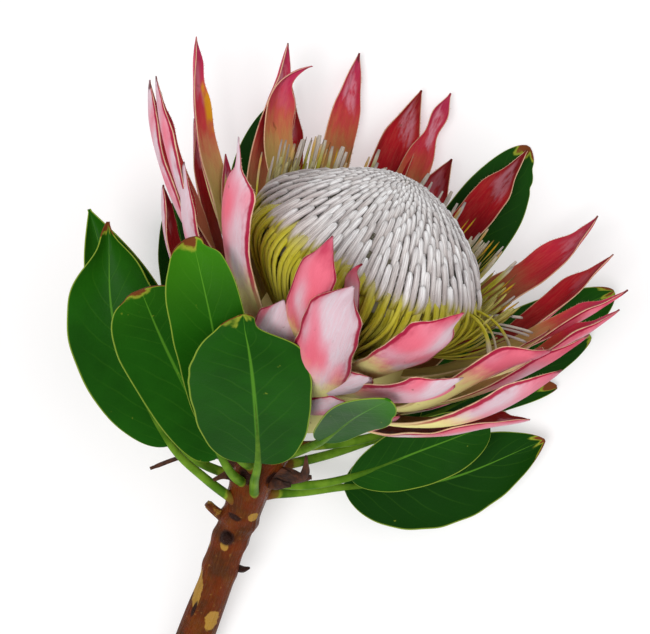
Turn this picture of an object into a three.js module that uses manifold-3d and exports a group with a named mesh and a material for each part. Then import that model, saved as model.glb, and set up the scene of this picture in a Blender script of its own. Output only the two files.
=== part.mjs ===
// A cut king protea: one flower head on its woody stem, lying on its side, in millimetres with +Z up.
// The stem runs along Y and the flower's axis rises from it towards +Y. The table is the plane z = 0.
import * as THREE from "three";
import { mergeVertices } from "three/addons/utils/BufferGeometryUtils.js";
import Module from "manifold-3d";

const wasm = await Module();
wasm.setup();

// Driving dimensions, in millimetres and degrees
const HEAD_TILT = 21; // rise of the flower's axis from the table
const HEAD_HEIGHT = 73; // height above the table of the point that the head is measured from
const GAP = 0.3; // clearance between pieces that touch
const OUTLINE_MIDDLE = [-4.5, -74]; // middle of the whole outline on the table
const BRACT_THICKNESS = [1.6, 0.8]; // at the foot and at the tip
const BRACT_ROOT = 3; // how far a bract's foot is sunk into the receptacle
const BRACT_TIP_WIDTH = 1.4;
const BRACT_POINTED_PART = 0.19; // share of a bract's length that narrows to its tip
const BRACT_TIP_POWER = 0.85; // below 1 the narrowing starts slowly and ends fast
const BRACT_FOOT_WIDTH = 0.55; // width of the foot as a share of the full width
const LEAF_THICKNESS = 0.9;
const PETIOLE_RADIUS = [1.9, 1.4]; // at the stem and at the blade

// The receptacle that carries the bracts: height along the flower's axis and radius
const RECEPTACLE = [
  [-93, 7.5],
  [-89, 13],
  [-83, 20],
  [-76, 25],
  [-68, 28],
  [-60, 29],
  [-52, 28],
];
// The outline of the white dome and of the green tubes that carry it
const DOME = [
  [9.5, 0],
  [6.2, 12],
  [-0.4, 24],
  [-10.4, 35],
  [-20, 41.5],
  [-26, 42.5],
];
const TUBES = [
  [-26, 42.5],
  [-34, 39],
  [-52, 25],
];
const TUBE_ROOM = 1.2; // how far the bracts keep from the green tubes' outline
const FLORET_RELIEF = 1.6; // how far the florets stand out of the core under them
const DOME_FLORETS = 120;
const TUBE_FLORETS = 30;
const OPEN_FLORETS = 24;
const CORE_SIDES = 16;

// The stem's middle line, from its cut end to the head, with its radius at each point
const STEM = [
  [4.5, -196, 6, 6.8],
  [3.4, -176, 9.7, 6.8],
  [2, -158, 14.5, 6.6],
  [0, -140, 20, 6.5],
  [-1, -125, 25.5, 6.8],
  [-3, -113, 31, 8],
  [-2, -101, 36, 7.6],
  [0, -85, 40.9, 6.8],
];

// Bracts that the photo shows: tip azimuth round the axis (0 faces up, + is the right side), tip radius,
// tip height, foot azimuth, foot height, lean from the axis at the foot and at the tip, width, fold
const BRACTS = [
  [-90, 97, 1, -84, -66, 58, 22, 15, 60],
  [-81, 95, 8, -70, -64, 55, 26, 16, 62],
  [-75, 75, -14, -64, -74, 60, 15, 18, 65],
  [-92, 78, -33, -84, -80, 75, 20, 15, 40],
  [-108, 96, 14, -100, -62, 53, 22, 15, 45],
  [-110, 85, -14, -110, -74, 65, 30, 12, 40],
  [-54, 71, 10, -46, -66, 45, -5, 24, 45],
  [-133, 85, 19, -117, -67, 56, 22, 18, 50],
  [-133.6, 69, 18, -134, -60, 34, -10, 16, 50],
  [-142, 91, 2, -146, -68, 50, 24, 16, 40],
  [-155.5, 90.5, 21, -154.5, -62, 44, 26, 13, 40],
  [-172.9, 81.5, 19, -170, -62, 40, 20, 15, 40],
  [179.7, 82.5, 22.5, 178, -66, 45, 26, 12, 40],
  [170.5, 71, 3, 166, -71, 46, 26, 16, 40],
  [155, 85, 17, 157, -62, 45, 20, 15, 40],
  [125.5, 84.5, 14, 129, -62, 50, 20, 18, 50],
  [115, 87.5, 7, 92, -68, 52, 22, 13, 50],
  [97.5, 88, 5, 93, -60, 66, 36, 14, 60],
  [89.5, 86.5, 1, 85, -67, 58, 25, 14, 60],
  [74, 82, -5, 73, -71, 62, 25, 13, 50],
  [51.5, 85.5, -5, 65, -68, 76, 57, 20, 50],
  [57.5, 87.5, -12, 71, -76, 72, 25, 21, 45],
  [68.5, 79.5, -40, 87, -83, 82, 50, 18, 40],
  [23.5, 85.5, 2, 24, -63.5, 38, 17, 18, 50],
  [34, 79, -23, 25, -66, 54, 23, 22, 50],
  [-1, 71, -9, 3, -73, 55, 0, 23, 60],
  [-12, 70, 2.5, -15, -65, 45, 0, 16, 60],
  [-2, 54, -7, 16, -60, 44, 40, 6, 60],
  [-22, 54, -32, -28, -79, 60, 0, 20, 60],
  [19, 54, -43, -8, -73, 59, 35, 18, 60],
  [22, 42, -60, 5, -78.5, 62, 36, 14, 60],
];
// Bracts hidden from above, in rows: foot height, first azimuth, last azimuth, count, tip radius, tip height,
// lean at the foot and at the tip, width
const HIDDEN_ROWS = [
  [-75, 100, 250, 7, 70, -20, 55, 25, 15],
  [-82, 95, 322, 7, 58, -44, 62, 28, 15],
  [-88, 60, 340, 6, 38, -64, 66, 24, 13],
];
const HIDDEN_SEED = 11;
const TABLE_CLEARANCE = 2.6; // least height of a hidden bract's tip above the table

// Leaves: five points of the middle line (in the stem, along the petiole, at the blade's foot, middle and tip),
// half-width to the left and to the right of the line, roll, how much the margins rise, blunt ends
const LEAVES = [
  [[-4, -114, 28], [-26, -115, 31], [-44, -107, 36], [-72, -79, 46], [-99, -49, 50], 12, 19, 0, 8, 0.7, 1.05],
  [[-2, -123, 29], [-19, -119, 39], [-35, -113, 47], [-70, -84, 62], [-89, -50, 68], 17, 19, 0, 10, 0.7, 0.85],
  [[-4, -115, 33], [-10, -113, 46], [-17, -108, 56], [-51, -80, 84], [-66, -66, 96], 16, 17, 0, 10, 0.4, 0.34],
  [[-4, -108, 38], [-10, -106, 55], [-19, -101, 70], [-35, -71, 99], [-57, -42, 112], 14, 11.5, 0, 10, 0.65, 0.42],
  [[1, -119, 30], [-2, -112, 46], [-4, -104, 60], [-19, -75, 100], [-30, -58, 119], 22, 20, 0, 8, 0.45, 0.5],
  [[1, -102, 36], [8, -94, 48], [13, -87, 63], [19, -73, 94], [25.6, -62.2, 118], 10.5, 9.5, 40, 10, 0.6, 0.5],
  [[1, -111, 32], [15, -106, 32], [29, -96, 30], [48, -76, 28], [67, -56, 27], 11, 13, 0, 6, 0.6, 0.5],
  [[1, -117, 27], [16, -109, 22], [29, -101, 18], [61, -83, 13], [90, -52, 9], 17, 17, 0, 8, 0.6, 0.8],
  [[0, -92, 38], [24, -69, 21], [40, -48, 15], [65, -18, 11], [89, 10, 8], 9, 14, 0, 4, 0.6, 0.6],
  [[0, -98, 35], [27, -82, 21], [44, -66, 14], [68, -37, 7], [89, -9, 4], 11, 8, 0, 4, 0.6, 0.6],
  [[1, -106, 31], [19, -92, 20], [35, -77, 12], [59, -54, 5], [86, -32, 3], 9, 5, 0, 4, 0.6, 0.6],
  [[0, -96, 35], [17, -57, 7], [23, -30, 1.4], [33, 11, 0.3], [36, 46, 0.3], 15, 13, 0, 0, 0.5, 0.62],
  [[-2, -101, 34], [-15, -74, 12], [-28, -51, 3], [-46, -17, 0.3], [-59, 17, 0.3], 14, 12, 0, 0, 0.6, 0.7],
  [[-3, -108, 30], [-22, -98, 20], [-34, -87, 14], [-55, -60, 9], [-76, -33, 7], 11, 12, 0, 4, 0.6, 0.6],
];

// What grows out of the bark: lines of points with the radius at the root and at the end, and a flatness.
// First the stub of a shed petiole and two buds, then the dry scales and a dry sliver round the petioles.
const BARK_GROWTHS = [
  [[[-3, -131, 23], [-9.5, -129.4, 25.5], [-14.4, -128, 27]], 2.3, 1.5, 1],
  [[[3, -146, 17], [8.3, -145.4, 17.2], [10.6, -143.6, 17.8]], 1.9, 0.8, 1],
  [[[-1, -137, 22], [-2, -136.4, 27], [-2.4, -135.6, 29.3]], 2.7, 1.9, 1],
  [[[2, -107, 36], [10, -105, 39.5], [16, -101.5, 40.5]], 3, 1.1, 0.35],
  [[[3, -106, 36], [13, -102.5, 41], [10.7, -95, 44]], 2.8, 0.7, 0.35],
  [[[-3, -106, 36], [-5, -101, 45], [-3, -96, 50]], 3.2, 0.9, 0.35],
  [[[-4, -115, 30], [-12, -114.5, 38], [-15.8, -118, 41.5]], 2.6, 0.8, 0.35],
  [[[1, -110, 33], [6, -109.5, 39.5], [10.5, -107.5, 41]], 2.8, 0.9, 0.35],
  [[[-2, -112, 30], [-18, -110, 28], [-29, -116, 25], [-39, -126, 24]], 1.7, 0.6, 0.5],
];

const HEAD = new THREE.Vector3(0, 0, HEAD_HEIGHT);
const TILT = THREE.MathUtils.degToRad(HEAD_TILT);
const AXIS = new THREE.Vector3(0, Math.cos(TILT), Math.sin(TILT));
const UP_SIDE = new THREE.Vector3(0, -Math.sin(TILT), Math.cos(TILT));
const RIGHT_SIDE = new THREE.Vector3(1, 0, 0);
const Z = new THREE.Vector3(0, 0, 1);

// Piecewise linear reading of a profile of [height, radius] points that rises or falls in height.
function radiusAt(profile, height) {
  const points = profile[0][0] < profile.at(-1)[0] ? profile : [...profile].reverse();
  const k = points.findIndex((p) => p[0] >= height);
  if (k === 0) return points[0][1];
  if (k < 0) return points.at(-1)[1];
  const [h0, r0] = points[k - 1];
  const [h1, r1] = points[k];
  return r0 + ((r1 - r0) * (height - h0)) / (h1 - h0);
}

// The direction that points away from the flower's axis at an azimuth in degrees.
function outward(azimuth) {
  const a = THREE.MathUtils.degToRad(azimuth);
  return RIGHT_SIDE.clone()
    .multiplyScalar(Math.sin(a))
    .addScaledVector(UP_SIDE, Math.cos(a));
}

function around(azimuth, radius, height) {
  return HEAD.clone().addScaledVector(outward(azimuth), radius).addScaledVector(AXIS, height);
}

// The direction that leaves the flower's axis by a lean in degrees.
function leaning(azimuth, lean) {
  const l = THREE.MathUtils.degToRad(lean);
  return outward(azimuth).multiplyScalar(Math.sin(l)).addScaledVector(AXIS, Math.cos(l));
}

// Random numbers from 0 to 1 that are the same on every run.
function randomFrom(seed) {
  let state = seed;
  return () => {
    state = (state * 16807) % 2147483647;
    return state / 2147483647;
  };
}

function solidOf(geometry) {
  const bare = geometry.clone();
  bare.deleteAttribute("normal");
  bare.deleteAttribute("uv");
  const merged = mergeVertices(bare, 1e-4);
  return new wasm.Manifold(
    new wasm.Mesh({
      numProp: 3,
      vertProperties: merged.attributes.position.array,
      triVerts: new Uint32Array(merged.index.array),
    }),
  );
}

function joined(solids) {
  return solids.reduce((whole, one) => whole.add(one));
}

// The largest body of a solid: scraps that a cut leaves loose are dropped.
function mainBody(solid) {
  return solid.decompose().reduce((a, b) => (a.volume() > b.volume() ? a : b));
}

function geometryOf(points, faces) {
  const geometry = new THREE.BufferGeometry().setFromPoints(points);
  geometry.setIndex(faces);
  return geometry;
}

// A closed blade: a grid of points on its middle surface, thickened to both sides, with the two faces
// split into triangles alike so that they never cross.
function bladeSolid(grid, thicknessAt) {
  const rows = grid.length;
  const cols = grid[0].length;
  const normalAt = (i, j) => {
    const along = grid[Math.min(i + 1, rows - 1)][j].clone().sub(grid[Math.max(i - 1, 0)][j]);
    const across = grid[i][Math.min(j + 1, cols - 1)].clone().sub(grid[i][Math.max(j - 1, 0)]);
    return along.cross(across).normalize();
  };
  const points = [];
  for (const face of [0.5, -0.5])
    for (let i = 0; i < rows; i++)
      for (let j = 0; j < cols; j++) {
        const step = face * thicknessAt(i / (rows - 1));
        points.push(grid[i][j].clone().addScaledVector(normalAt(i, j), step));
      }
  const front = (i, j) => i * cols + j;
  const back = (i, j) => (rows + i) * cols + j;
  const faces = [];
  const quad = (a, b, c, d) => faces.push(a, b, c, a, c, d);
  for (let i = 0; i < rows - 1; i++)
    for (let j = 0; j < cols - 1; j++) {
      quad(front(i, j), front(i + 1, j), front(i + 1, j + 1), front(i, j + 1));
      faces.push(back(i, j), back(i + 1, j + 1), back(i + 1, j));
      faces.push(back(i, j), back(i, j + 1), back(i + 1, j + 1));
    }
  const c = cols - 1;
  const r = rows - 1;
  for (let i = 0; i < r; i++) {
    quad(front(i + 1, 0), front(i, 0), back(i, 0), back(i + 1, 0));
    quad(front(i, c), front(i + 1, c), back(i + 1, c), back(i, c));
  }
  for (let j = 0; j < c; j++) {
    quad(front(0, j), front(0, j + 1), back(0, j + 1), back(0, j));
    quad(front(r, j + 1), front(r, j), back(r, j), back(r, j + 1));
  }
  return solidOf(geometryOf(points, faces));
}

// A closed rod along a line of points: each ring has its own radius, and may be flattened along its height.
function rodSolid(line, radiusOf, sides, flatness = 1) {
  const last = line.length - 1;
  const points = [];
  line.forEach((p, i) => {
    const along = line[Math.min(i + 1, last)].clone().sub(line[Math.max(i - 1, 0)]);
    const across = along.clone().cross(Z).normalize();
    const rise = across.clone().cross(along).normalize();
    const radius = radiusOf(i / last);
    for (let k = 0; k < sides; k++) {
      const a = (2 * Math.PI * (k + 0.5)) / sides;
      const point = p.clone().addScaledVector(across, radius * Math.cos(a));
      points.push(point.addScaledVector(rise, radius * flatness * Math.sin(a)));
    }
  });
  const at = (i, k) => i * sides + (k % sides);
  const faces = [];
  for (let i = 0; i < last; i++)
    for (let k = 0; k < sides; k++) {
      faces.push(at(i, k), at(i + 1, k + 1), at(i, k + 1));
      faces.push(at(i, k), at(i + 1, k), at(i + 1, k + 1));
    }
  for (let k = 1; k < sides - 1; k++) {
    faces.push(at(0, 0), at(0, k), at(0, k + 1));
    faces.push(at(last, 0), at(last, k + 1), at(last, k));
  }
  return solidOf(geometryOf(points, faces));
}

// A solid of revolution round the flower's axis, from a profile of [height, radius] points.
function turnedSolid(profile, segments) {
  const rising = profile[0][0] < profile.at(-1)[0] ? profile : [...profile].reverse();
  const outline = rising.map(([height, radius]) => new THREE.Vector2(radius, height));
  if (outline[0].x > 0) outline.unshift(new THREE.Vector2(0, outline[0].y));
  if (outline.at(-1).x > 0) outline.push(new THREE.Vector2(0, outline.at(-1).y));
  const turned = new THREE.LatheGeometry(outline, segments);
  turned.applyMatrix4(new THREE.Matrix4().makeBasis(RIGHT_SIDE, AXIS, UP_SIDE).setPosition(HEAD));
  return solidOf(turned);
}

function boxSolid(width, depth, height, centre) {
  return solidOf(new THREE.BoxGeometry(width, depth, height).translate(...centre));
}

const belowTable = boxSolid(600, 600, 60, [0, 0, -30]);

// A bract: a blade along a cubic curve from the receptacle to its tip, its cross-section an arc that opens
// towards the axis, with a broad foot and a tapered, pointed end.
function bractSolid(row, rows, cells) {
  const [tipAzimuth, tipRadius, tipHeight, footAzimuth, footHeight, leanFoot, leanTip, width, fold] = row;
  const foot = around(footAzimuth, radiusAt(RECEPTACLE, footHeight) - BRACT_ROOT, footHeight);
  const tip = around(tipAzimuth, tipRadius, tipHeight);
  const handle = 0.36 * foot.distanceTo(tip);
  const curve = new THREE.CubicBezierCurve3(
    foot,
    foot.clone().addScaledVector(leaning(footAzimuth, leanFoot), handle),
    tip.clone().addScaledVector(leaning(tipAzimuth, leanTip), -handle),
    tip,
  );
  const grid = [];
  for (let i = 0; i <= rows; i++) {
    const s = i / rows;
    const middle = curve.getPoint(s);
    const along = curve.getTangent(s);
    const out = middle.clone().sub(HEAD);
    out.addScaledVector(AXIS, -out.dot(AXIS)).normalize();
    const across = out.clone().cross(AXIS);
    across.addScaledVector(along, -across.dot(along)).normalize();
    out.crossVectors(across, along).normalize();
    if (out.dot(middle.clone().sub(HEAD)) < 0) out.negate();
    const taper = Math.min(1, ((1 - s) / BRACT_POINTED_PART) ** BRACT_TIP_POWER);
    const footTaper = Math.min(1, BRACT_FOOT_WIDTH + s);
    const half = Math.max((width / 2) * taper * footTaper, BRACT_TIP_WIDTH / 2);
    const bend = THREE.MathUtils.degToRad(fold) * (0.5 + 0.5 * s);
    const line = [];
    for (let j = 0; j <= cells; j++) {
      const turn = ((2 * j) / cells - 1) * bend;
      const point = middle.clone().addScaledVector(across, (half * Math.sin(turn)) / bend);
      line.push(point.addScaledVector(out, (-half * (1 - Math.cos(turn))) / bend));
    }
    grid.push(line);
  }
  return bladeSolid(grid, (s) => THREE.MathUtils.lerp(...BRACT_THICKNESS, s));
}

// The rows of shorter bracts under the head, spread evenly with a little scatter, their tips above the table.
function hiddenBracts() {
  const random = randomFrom(HIDDEN_SEED);
  const rows = [];
  for (const [foot, first, last, count, radius, height, leanFoot, leanTip, width] of HIDDEN_ROWS)
    for (let k = 0; k < count; k++) {
      const azimuth = first + ((last - first) * k) / (count - 1) + 6 * (random() - 0.5);
      const drop = -outward(azimuth).z;
      const room = HEAD_HEIGHT + height * Math.sin(TILT) - TABLE_CLEARANCE;
      const reach = radius * (0.94 + 0.12 * random());
      const tipRadius = drop > 0 ? Math.min(reach, room / drop) : reach;
      rows.push([azimuth, tipRadius, height, azimuth, foot, leanFoot, leanTip, width, 45]);
    }
  return rows;
}

function bractsSolid() {
  const shown = BRACTS.map((row) => bractSolid(row, 5, 2));
  const hidden = hiddenBracts().map((row) => bractSolid(row, 3, 2));
  const whole = joined([turnedSolid(RECEPTACLE, CORE_SIDES), ...shown, ...hidden]);
  const tubeRoom = turnedSolid(TUBES.map(([height, radius]) => [height, radius + TUBE_ROOM]), CORE_SIDES);
  return mainBody(whole.subtract(tubeRoom).subtract(belowTable));
}

// The same profile with every radius smaller by a depth, and its top lower by it.
function inset(profile, depth) {
  const top = Math.max(...profile.map((p) => p[0]));
  return profile.map(([h, r]) => [h === top ? h - (r === 0 ? depth : 0) : h, Math.max(r - depth, 0)]);
}

// A four-sided bar through points given as [azimuth, radius, height], flat against the head.
function barSolid(points, width, depth) {
  const line = points.map(([azimuth, radius, height]) => around(azimuth, radius, height));
  const last = line.length - 1;
  const grid = line.map((p, i) => {
    const along = line[Math.min(i + 1, last)].clone().sub(line[Math.max(i - 1, 0)]);
    const across = along.cross(outward(points[i][0])).normalize();
    return [-0.5, 0.5].map((side) => p.clone().addScaledVector(across, side * width(i / last)));
  });
  return bladeSolid(grid, () => depth);
}

// The white dome: fingers in a spiral of golden-angle steps, each sunk at its lower end and raised at the
// end that points to the top, over a core.
function domeSolid() {
  const core = turnedSolid(inset(DOME, FLORET_RELIEF), CORE_SIDES);
  const top = DOME[0][0];
  const bottom = DOME.at(-1)[0];
  const bars = [];
  const golden = 180 * (3 - Math.sqrt(5));
  for (let k = 0; k < DOME_FLORETS; k++) {
    const share = (k + 0.5) / DOME_FLORETS;
    const height = top - 1.5 + (bottom + 11 - top) * share ** 1.25;
    const azimuth = k * golden;
    const length = 5 + 7 * share;
    const low = Math.max(height - length, bottom + 1.4);
    const width = 2.6 + 1.4 * share;
    const points = [
      [azimuth, radiusAt(DOME, height) + 0.2, height],
      [azimuth, radiusAt(DOME, low) - FLORET_RELIEF - 0.6, low],
    ];
    bars.push(barSolid(points, () => width, 2.4));
  }
  return joined([core, ...bars]);
}

// The green tubes under the dome, and the open florets that stand off it towards the far and right sides.
function greenFloretsSolid() {
  const random = randomFrom(HIDDEN_SEED);
  const core = turnedSolid(inset(TUBES, FLORET_RELIEF), CORE_SIDES);
  const bars = [];
  for (let k = 0; k < TUBE_FLORETS; k++) {
    const azimuth = (360 * k) / TUBE_FLORETS;
    const points = [-27.4, -50.6].map((h) => [azimuth, radiusAt(TUBES, h) - 0.6, h]);
    bars.push(barSolid(points, (s) => 4.6 - 1.8 * s, 2.2));
  }
  for (let k = 0; k < OPEN_FLORETS; k++) {
    const azimuth = 62 + (238 * k) / (OPEN_FLORETS - 1);
    const spread = random();
    const tip = [azimuth + 8 * (random() - 0.5), 50 + 8 * spread, 2 - 12 * spread];
    const points = [tip, [azimuth, 43 + 4 * spread, -26], [azimuth, radiusAt(TUBES, -44) - 3, -44]];
    bars.push(barSolid(points, () => 2, 1.6));
  }
  return joined([core, ...bars]);
}

function stemSolid(grow = 0) {
  const points = STEM.map(([x, y, z]) => new THREE.Vector3(x, y, z));
  const curve = new THREE.CatmullRomCurve3(points);
  const steps = 2 * (STEM.length - 1);
  const line = [];
  for (let i = 0; i <= steps; i++) line.push(curve.getPoint(i / steps));
  const radii = STEM.map((p) => p[3]);
  const radiusOf = (t) => {
    const k = Math.min(Math.floor(t * (radii.length - 1)), radii.length - 2);
    return THREE.MathUtils.lerp(radii[k], radii[k + 1], t * (radii.length - 1) - k) + grow;
  };
  const bark = rodSolid(line, radiusOf, 14);
  const growths = BARK_GROWTHS.map(([path, root, end, flatness]) => {
    const way = path.map((p) => new THREE.Vector3(...p));
    return rodSolid(way, (t) => THREE.MathUtils.lerp(root, end, t) + grow, 4, flatness);
  });
  return joined([bark, ...growths]);
}

// A leaf: a petiole and a blade along one smooth line. The blade's half-width follows s^a (1 - s)^b, scaled
// to its widest place.
function leafSolid([...values]) {
  const line = new THREE.CatmullRomCurve3(values.slice(0, 5).map((p) => new THREE.Vector3(...p)));
  const [left, right, roll, rise, footPower, tipPower] = values.slice(5);
  const widest = footPower / (footPower + tipPower);
  const shape = (s) => s ** footPower * (1 - s) ** tipPower;
  const rows = 6;
  const cells = 4;
  const grid = [];
  for (let i = 0; i <= rows; i++) {
    const s = 0.004 + (0.992 * i) / rows;
    const middle = line.getPoint(0.5 + 0.5 * s);
    const along = line.getTangent(0.5 + 0.5 * s);
    const across = along.clone().cross(Z).normalize().applyAxisAngle(along, THREE.MathUtils.degToRad(roll));
    const up = across.clone().cross(along).normalize();
    const share = shape(s) / shape(widest);
    const row = [];
    for (let j = 0; j <= cells; j++) {
      const q = (2 * j) / cells - 1;
      const half = Math.max(share * (q < 0 ? left : right), 0.8);
      const lift = Math.tan(THREE.MathUtils.degToRad(rise)) * half * q * q;
      row.push(middle.clone().addScaledVector(across, q * half).addScaledVector(up, lift));
    }
    grid.push(row);
  }
  const petiole = [];
  for (let i = 0; i <= 4; i++) petiole.push(line.getPoint((0.54 * i) / 4));
  const stalk = rodSolid(petiole, (t) => THREE.MathUtils.lerp(...PETIOLE_RADIUS, t), 5);
  return stalk.add(bladeSolid(grid, () => LEAF_THICKNESS));
}

function meshOf(name, solid, colour, roughness) {
  const { vertProperties, triVerts } = solid.getMesh();
  const geometry = new THREE.BufferGeometry();
  geometry.setAttribute("position", new THREE.BufferAttribute(new Float32Array(vertProperties), 3));
  geometry.setIndex(new THREE.BufferAttribute(new Uint32Array(triVerts), 1));
  geometry.computeVertexNormals();
  const material = new THREE.MeshStandardMaterial({ color: colour, roughness, metalness: 0 });
  const mesh = new THREE.Mesh(geometry, material);
  mesh.name = name;
  return mesh;
}

const flower = new THREE.Group();
flower.position.set(-OUTLINE_MIDDLE[0], -OUTLINE_MIDDLE[1], 0);
const stemRoom = stemSolid(GAP);
const headRoom = turnedSolid(RECEPTACLE.map(([height, radius]) => [height - GAP, radius + GAP]), CORE_SIDES);
const stem = mainBody(stemSolid().subtract(headRoom).subtract(belowTable));
flower.add(meshOf("stem", stem, 0x7a4a34, 0.8));
flower.add(meshOf("bracts", bractsSolid(), 0xd9808c, 0.7));
flower.add(meshOf("dome_florets", domeSolid(), 0xe4dede, 0.8));
flower.add(meshOf("green_florets", greenFloretsSolid(), 0xa8a838, 0.7));
LEAVES.forEach((leaf, k) => {
  const solid = mainBody(leafSolid(leaf).subtract(stemRoom).subtract(belowTable));
  const name = "leaf_" + String(k + 1).padStart(2, "0");
  flower.add(meshOf(name, solid, 0x2f6b2a, 0.4));
});

export default flower;
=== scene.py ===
"""A cut king protea lying on a pale floor: its bark, bracts, florets and leaves as worked-out surfaces.

The tables hold millimetres and degrees in the flower's own frame: the stem runs along Y, the head's axis
rises from it, and the floor is z = 0. Each mesh is made in metres, with that frame's origin at PLACE.
"""

import math

import bpy
import numpy as np
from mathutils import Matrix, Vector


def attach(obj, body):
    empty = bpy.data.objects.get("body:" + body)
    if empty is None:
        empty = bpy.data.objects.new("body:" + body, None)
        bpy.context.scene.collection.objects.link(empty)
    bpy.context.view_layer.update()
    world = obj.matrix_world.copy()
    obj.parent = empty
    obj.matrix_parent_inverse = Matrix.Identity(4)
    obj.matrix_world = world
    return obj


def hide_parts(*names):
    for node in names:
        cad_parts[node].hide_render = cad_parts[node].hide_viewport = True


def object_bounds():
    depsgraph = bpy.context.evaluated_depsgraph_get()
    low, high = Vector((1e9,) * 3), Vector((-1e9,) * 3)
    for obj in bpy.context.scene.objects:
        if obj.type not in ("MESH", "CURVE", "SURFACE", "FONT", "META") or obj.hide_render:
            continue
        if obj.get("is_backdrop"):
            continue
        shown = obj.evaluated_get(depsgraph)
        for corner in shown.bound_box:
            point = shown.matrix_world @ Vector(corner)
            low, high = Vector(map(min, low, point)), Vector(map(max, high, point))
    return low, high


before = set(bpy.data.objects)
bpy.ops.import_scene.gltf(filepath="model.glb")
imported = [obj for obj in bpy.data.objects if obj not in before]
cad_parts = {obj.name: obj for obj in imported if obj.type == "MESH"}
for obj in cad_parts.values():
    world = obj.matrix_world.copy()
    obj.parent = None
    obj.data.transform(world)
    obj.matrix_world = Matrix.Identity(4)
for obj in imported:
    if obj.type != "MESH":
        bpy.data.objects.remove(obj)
CAD_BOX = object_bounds()

bl_info = {
    "name": "King protea",
    "version": (1, 0, 0),
    "blender": (4, 5, 0),
    "location": "3D View > Sidebar > Protea",
    "description": "Builds a cut king protea flower, piece by piece",
    "category": "Object",
}

MM = 0.001
PLACE = np.array([4.5, 74.0, 0.0])  # the flower's own origin on the floor
HEAD_TILT = 21
HEAD_HEIGHT = 73
BRACT_THICKNESS = (1.6, 0.8)  # at the foot and at the tip
BRACT_ROOT = 3  # how deep a bract's foot stands in the receptacle
BLUNT_PART = 0.19  # share of a bract's length that narrows to its tip
PETIOLE_RADIUS = (1.9, 1.4)  # by the stem and at the blade's foot
BARK_RADIUS = 6.6  # turns an angle round the stem into a distance for the grain
WOOL_RADIUS = 0.06
HAIR_RADIUS = 0.09
THIN_STYLE = 0.45  # width of the styles between the shorter florets
FLOOR_GAP = 0.02  # least height of the leaves; the bark and its growths keep more

# Heights and radii round the head's axis
RECEPTACLE = [(-93, 7.5), (-89, 13), (-83, 20), (-76, 25), (-68, 28), (-60, 29), (-52, 28)]
DOME = [(9.5, 0), (6.2, 12), (-0.4, 24), (-10.4, 35), (-20, 41.5), (-26, 42.5)]
TUBES = [(-34, 39), (-52, 25)]
DOME_CORE_DEPTH = 1.9
TUBES_CORE_DEPTH = 2.8

# The values that the points carry for their materials
BRACT_VALUES = ("along", "across", "inner", "red", "silver", "cream", "stripe")
FLORET_VALUES = ("along", "across", "white", "gold", "dark", "tone")
LEAF_VALUES = ("along", "across", "under", "brown", "yellow", "stalk")
STEM_VALUES = ("patch", "scar", "cut", "radial")

# Points along and across each surface
STEM_GRID = (220, 72)
GROWTH_GRID = (26, 16)
BRACT_GRID = (72, 22)
HIDDEN_GRID = (44, 14)
LEAF_GRID = (84, 30)
RECEPTACLE_GRID = (40, 96)
DOME_CORE_GRID = (40, 72)
TUBES_CORE_GRID = (12, 72)

# Seeds of what is drawn at random
HIDDEN_SEED = 11
DOME_SEED = 4
WOOL_SEED = 12
TUBES_SEED = 21
STRAP_SEED = 31
FILL_SEED = 43
SHORT_STRAP_SEED = 50
SHORT_STYLE_SEED = 60
BUD_SEED = 40
SCALE_SEED = 60
HIDDEN_BRACT_SEED = 100
FRINGE_SEED = 300
LEAF_SEED = 500

# The stage: metres, and for each light its name, turns in radians, strength and width in degrees
CAMERA_PLACE = (-0.00075, 0.02714)
SENSOR_WIDTH = 36.0
FLOOR_REACH = 4.0
FLOOR_GLOW = 0.42
SKY_STRENGTH = 0.48
LIGHTS = [
    ("key light", (0.34, -0.2, 0.0), 2.0, 30),
    ("fill light", (-0.4, 0.5, 0.0), 0.7, 60),
]

# Distance from the top of the dome over its surface at which the florets turn green, by azimuth
WHITE_ENDS = [
    (-180, 53), (-110, 55), (-80, 54), (-54, 51.5), (-15, 48), (5, 51.5),
    (28, 54), (45, 51), (70, 53), (100, 57), (180, 54),
]
# Open florets: azimuth, radius and height of the end, width in mm. First beige straps, then golden ones,
# then slim styles with pollen, dark styles, straps that lean far out, and curled ones.
STRAPS = [
    (-98, 47, -6.5, 1.7),
    (-110, 50, -2.8, 1),
    (-114, 50, -3.2, 1),
    (-118, 50, -5.2, 0.9),
    (-122, 48, -2.2, 1.5),
    (-126, 50, -3, 1.8),
    (-129, 49, -1.6, 1.3),
    (-134, 50, -0.5, 2),
    (-138, 50, -2, 1.8),
    (-142, 49, -3.4, 1.5),
    (-147, 49, -2.5, 2.3),
    (-149, 48, -3.8, 1.4),
    (-163, 49, 0.8, 1.7),
    (-164, 46, -3.2, 1.4),
    (-169, 47, -4, 0.9),
    (-172, 46, -5, 1),
    (173, 50, 0, 1.7),
    (170, 49, -2, 1.2),
    (164, 49, -3, 1),
    (161, 51, -1.8, 1.6),
    (154, 52, -2.8, 1.3),
    (156, 50, -4.2, 1.2),
    (142, 53, -9.5, 1.4),
    (137, 54, -10, 1.2),
    (130, 55, -8.2, 0.9),
    (123, 58, -10, 1.7),
    (122, 57, -12, 1.3),
    (111, 57, -18.5, 1),
]
GOLDEN_STRAPS = [
    (-118, 48, -3.8, 1.2),
    (-124, 49, -4.4, 1.3),
    (-136, 49, -3.4, 1.2),
    (-140, 49, -5, 1.2),
    (-131, 49, -0.8, 1),
    (-150, 46, -7.2, 1.2),
    (-160, 48, -2.8, 1.1),
    (-168, 46, -4, 1),
    (-92, 50.7, -5.3, 0.9),
    (154, 51, -5.2, 1.2),
    (141, 55, -7, 0.9),
    (127, 53, -9, 0.9),
]
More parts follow.
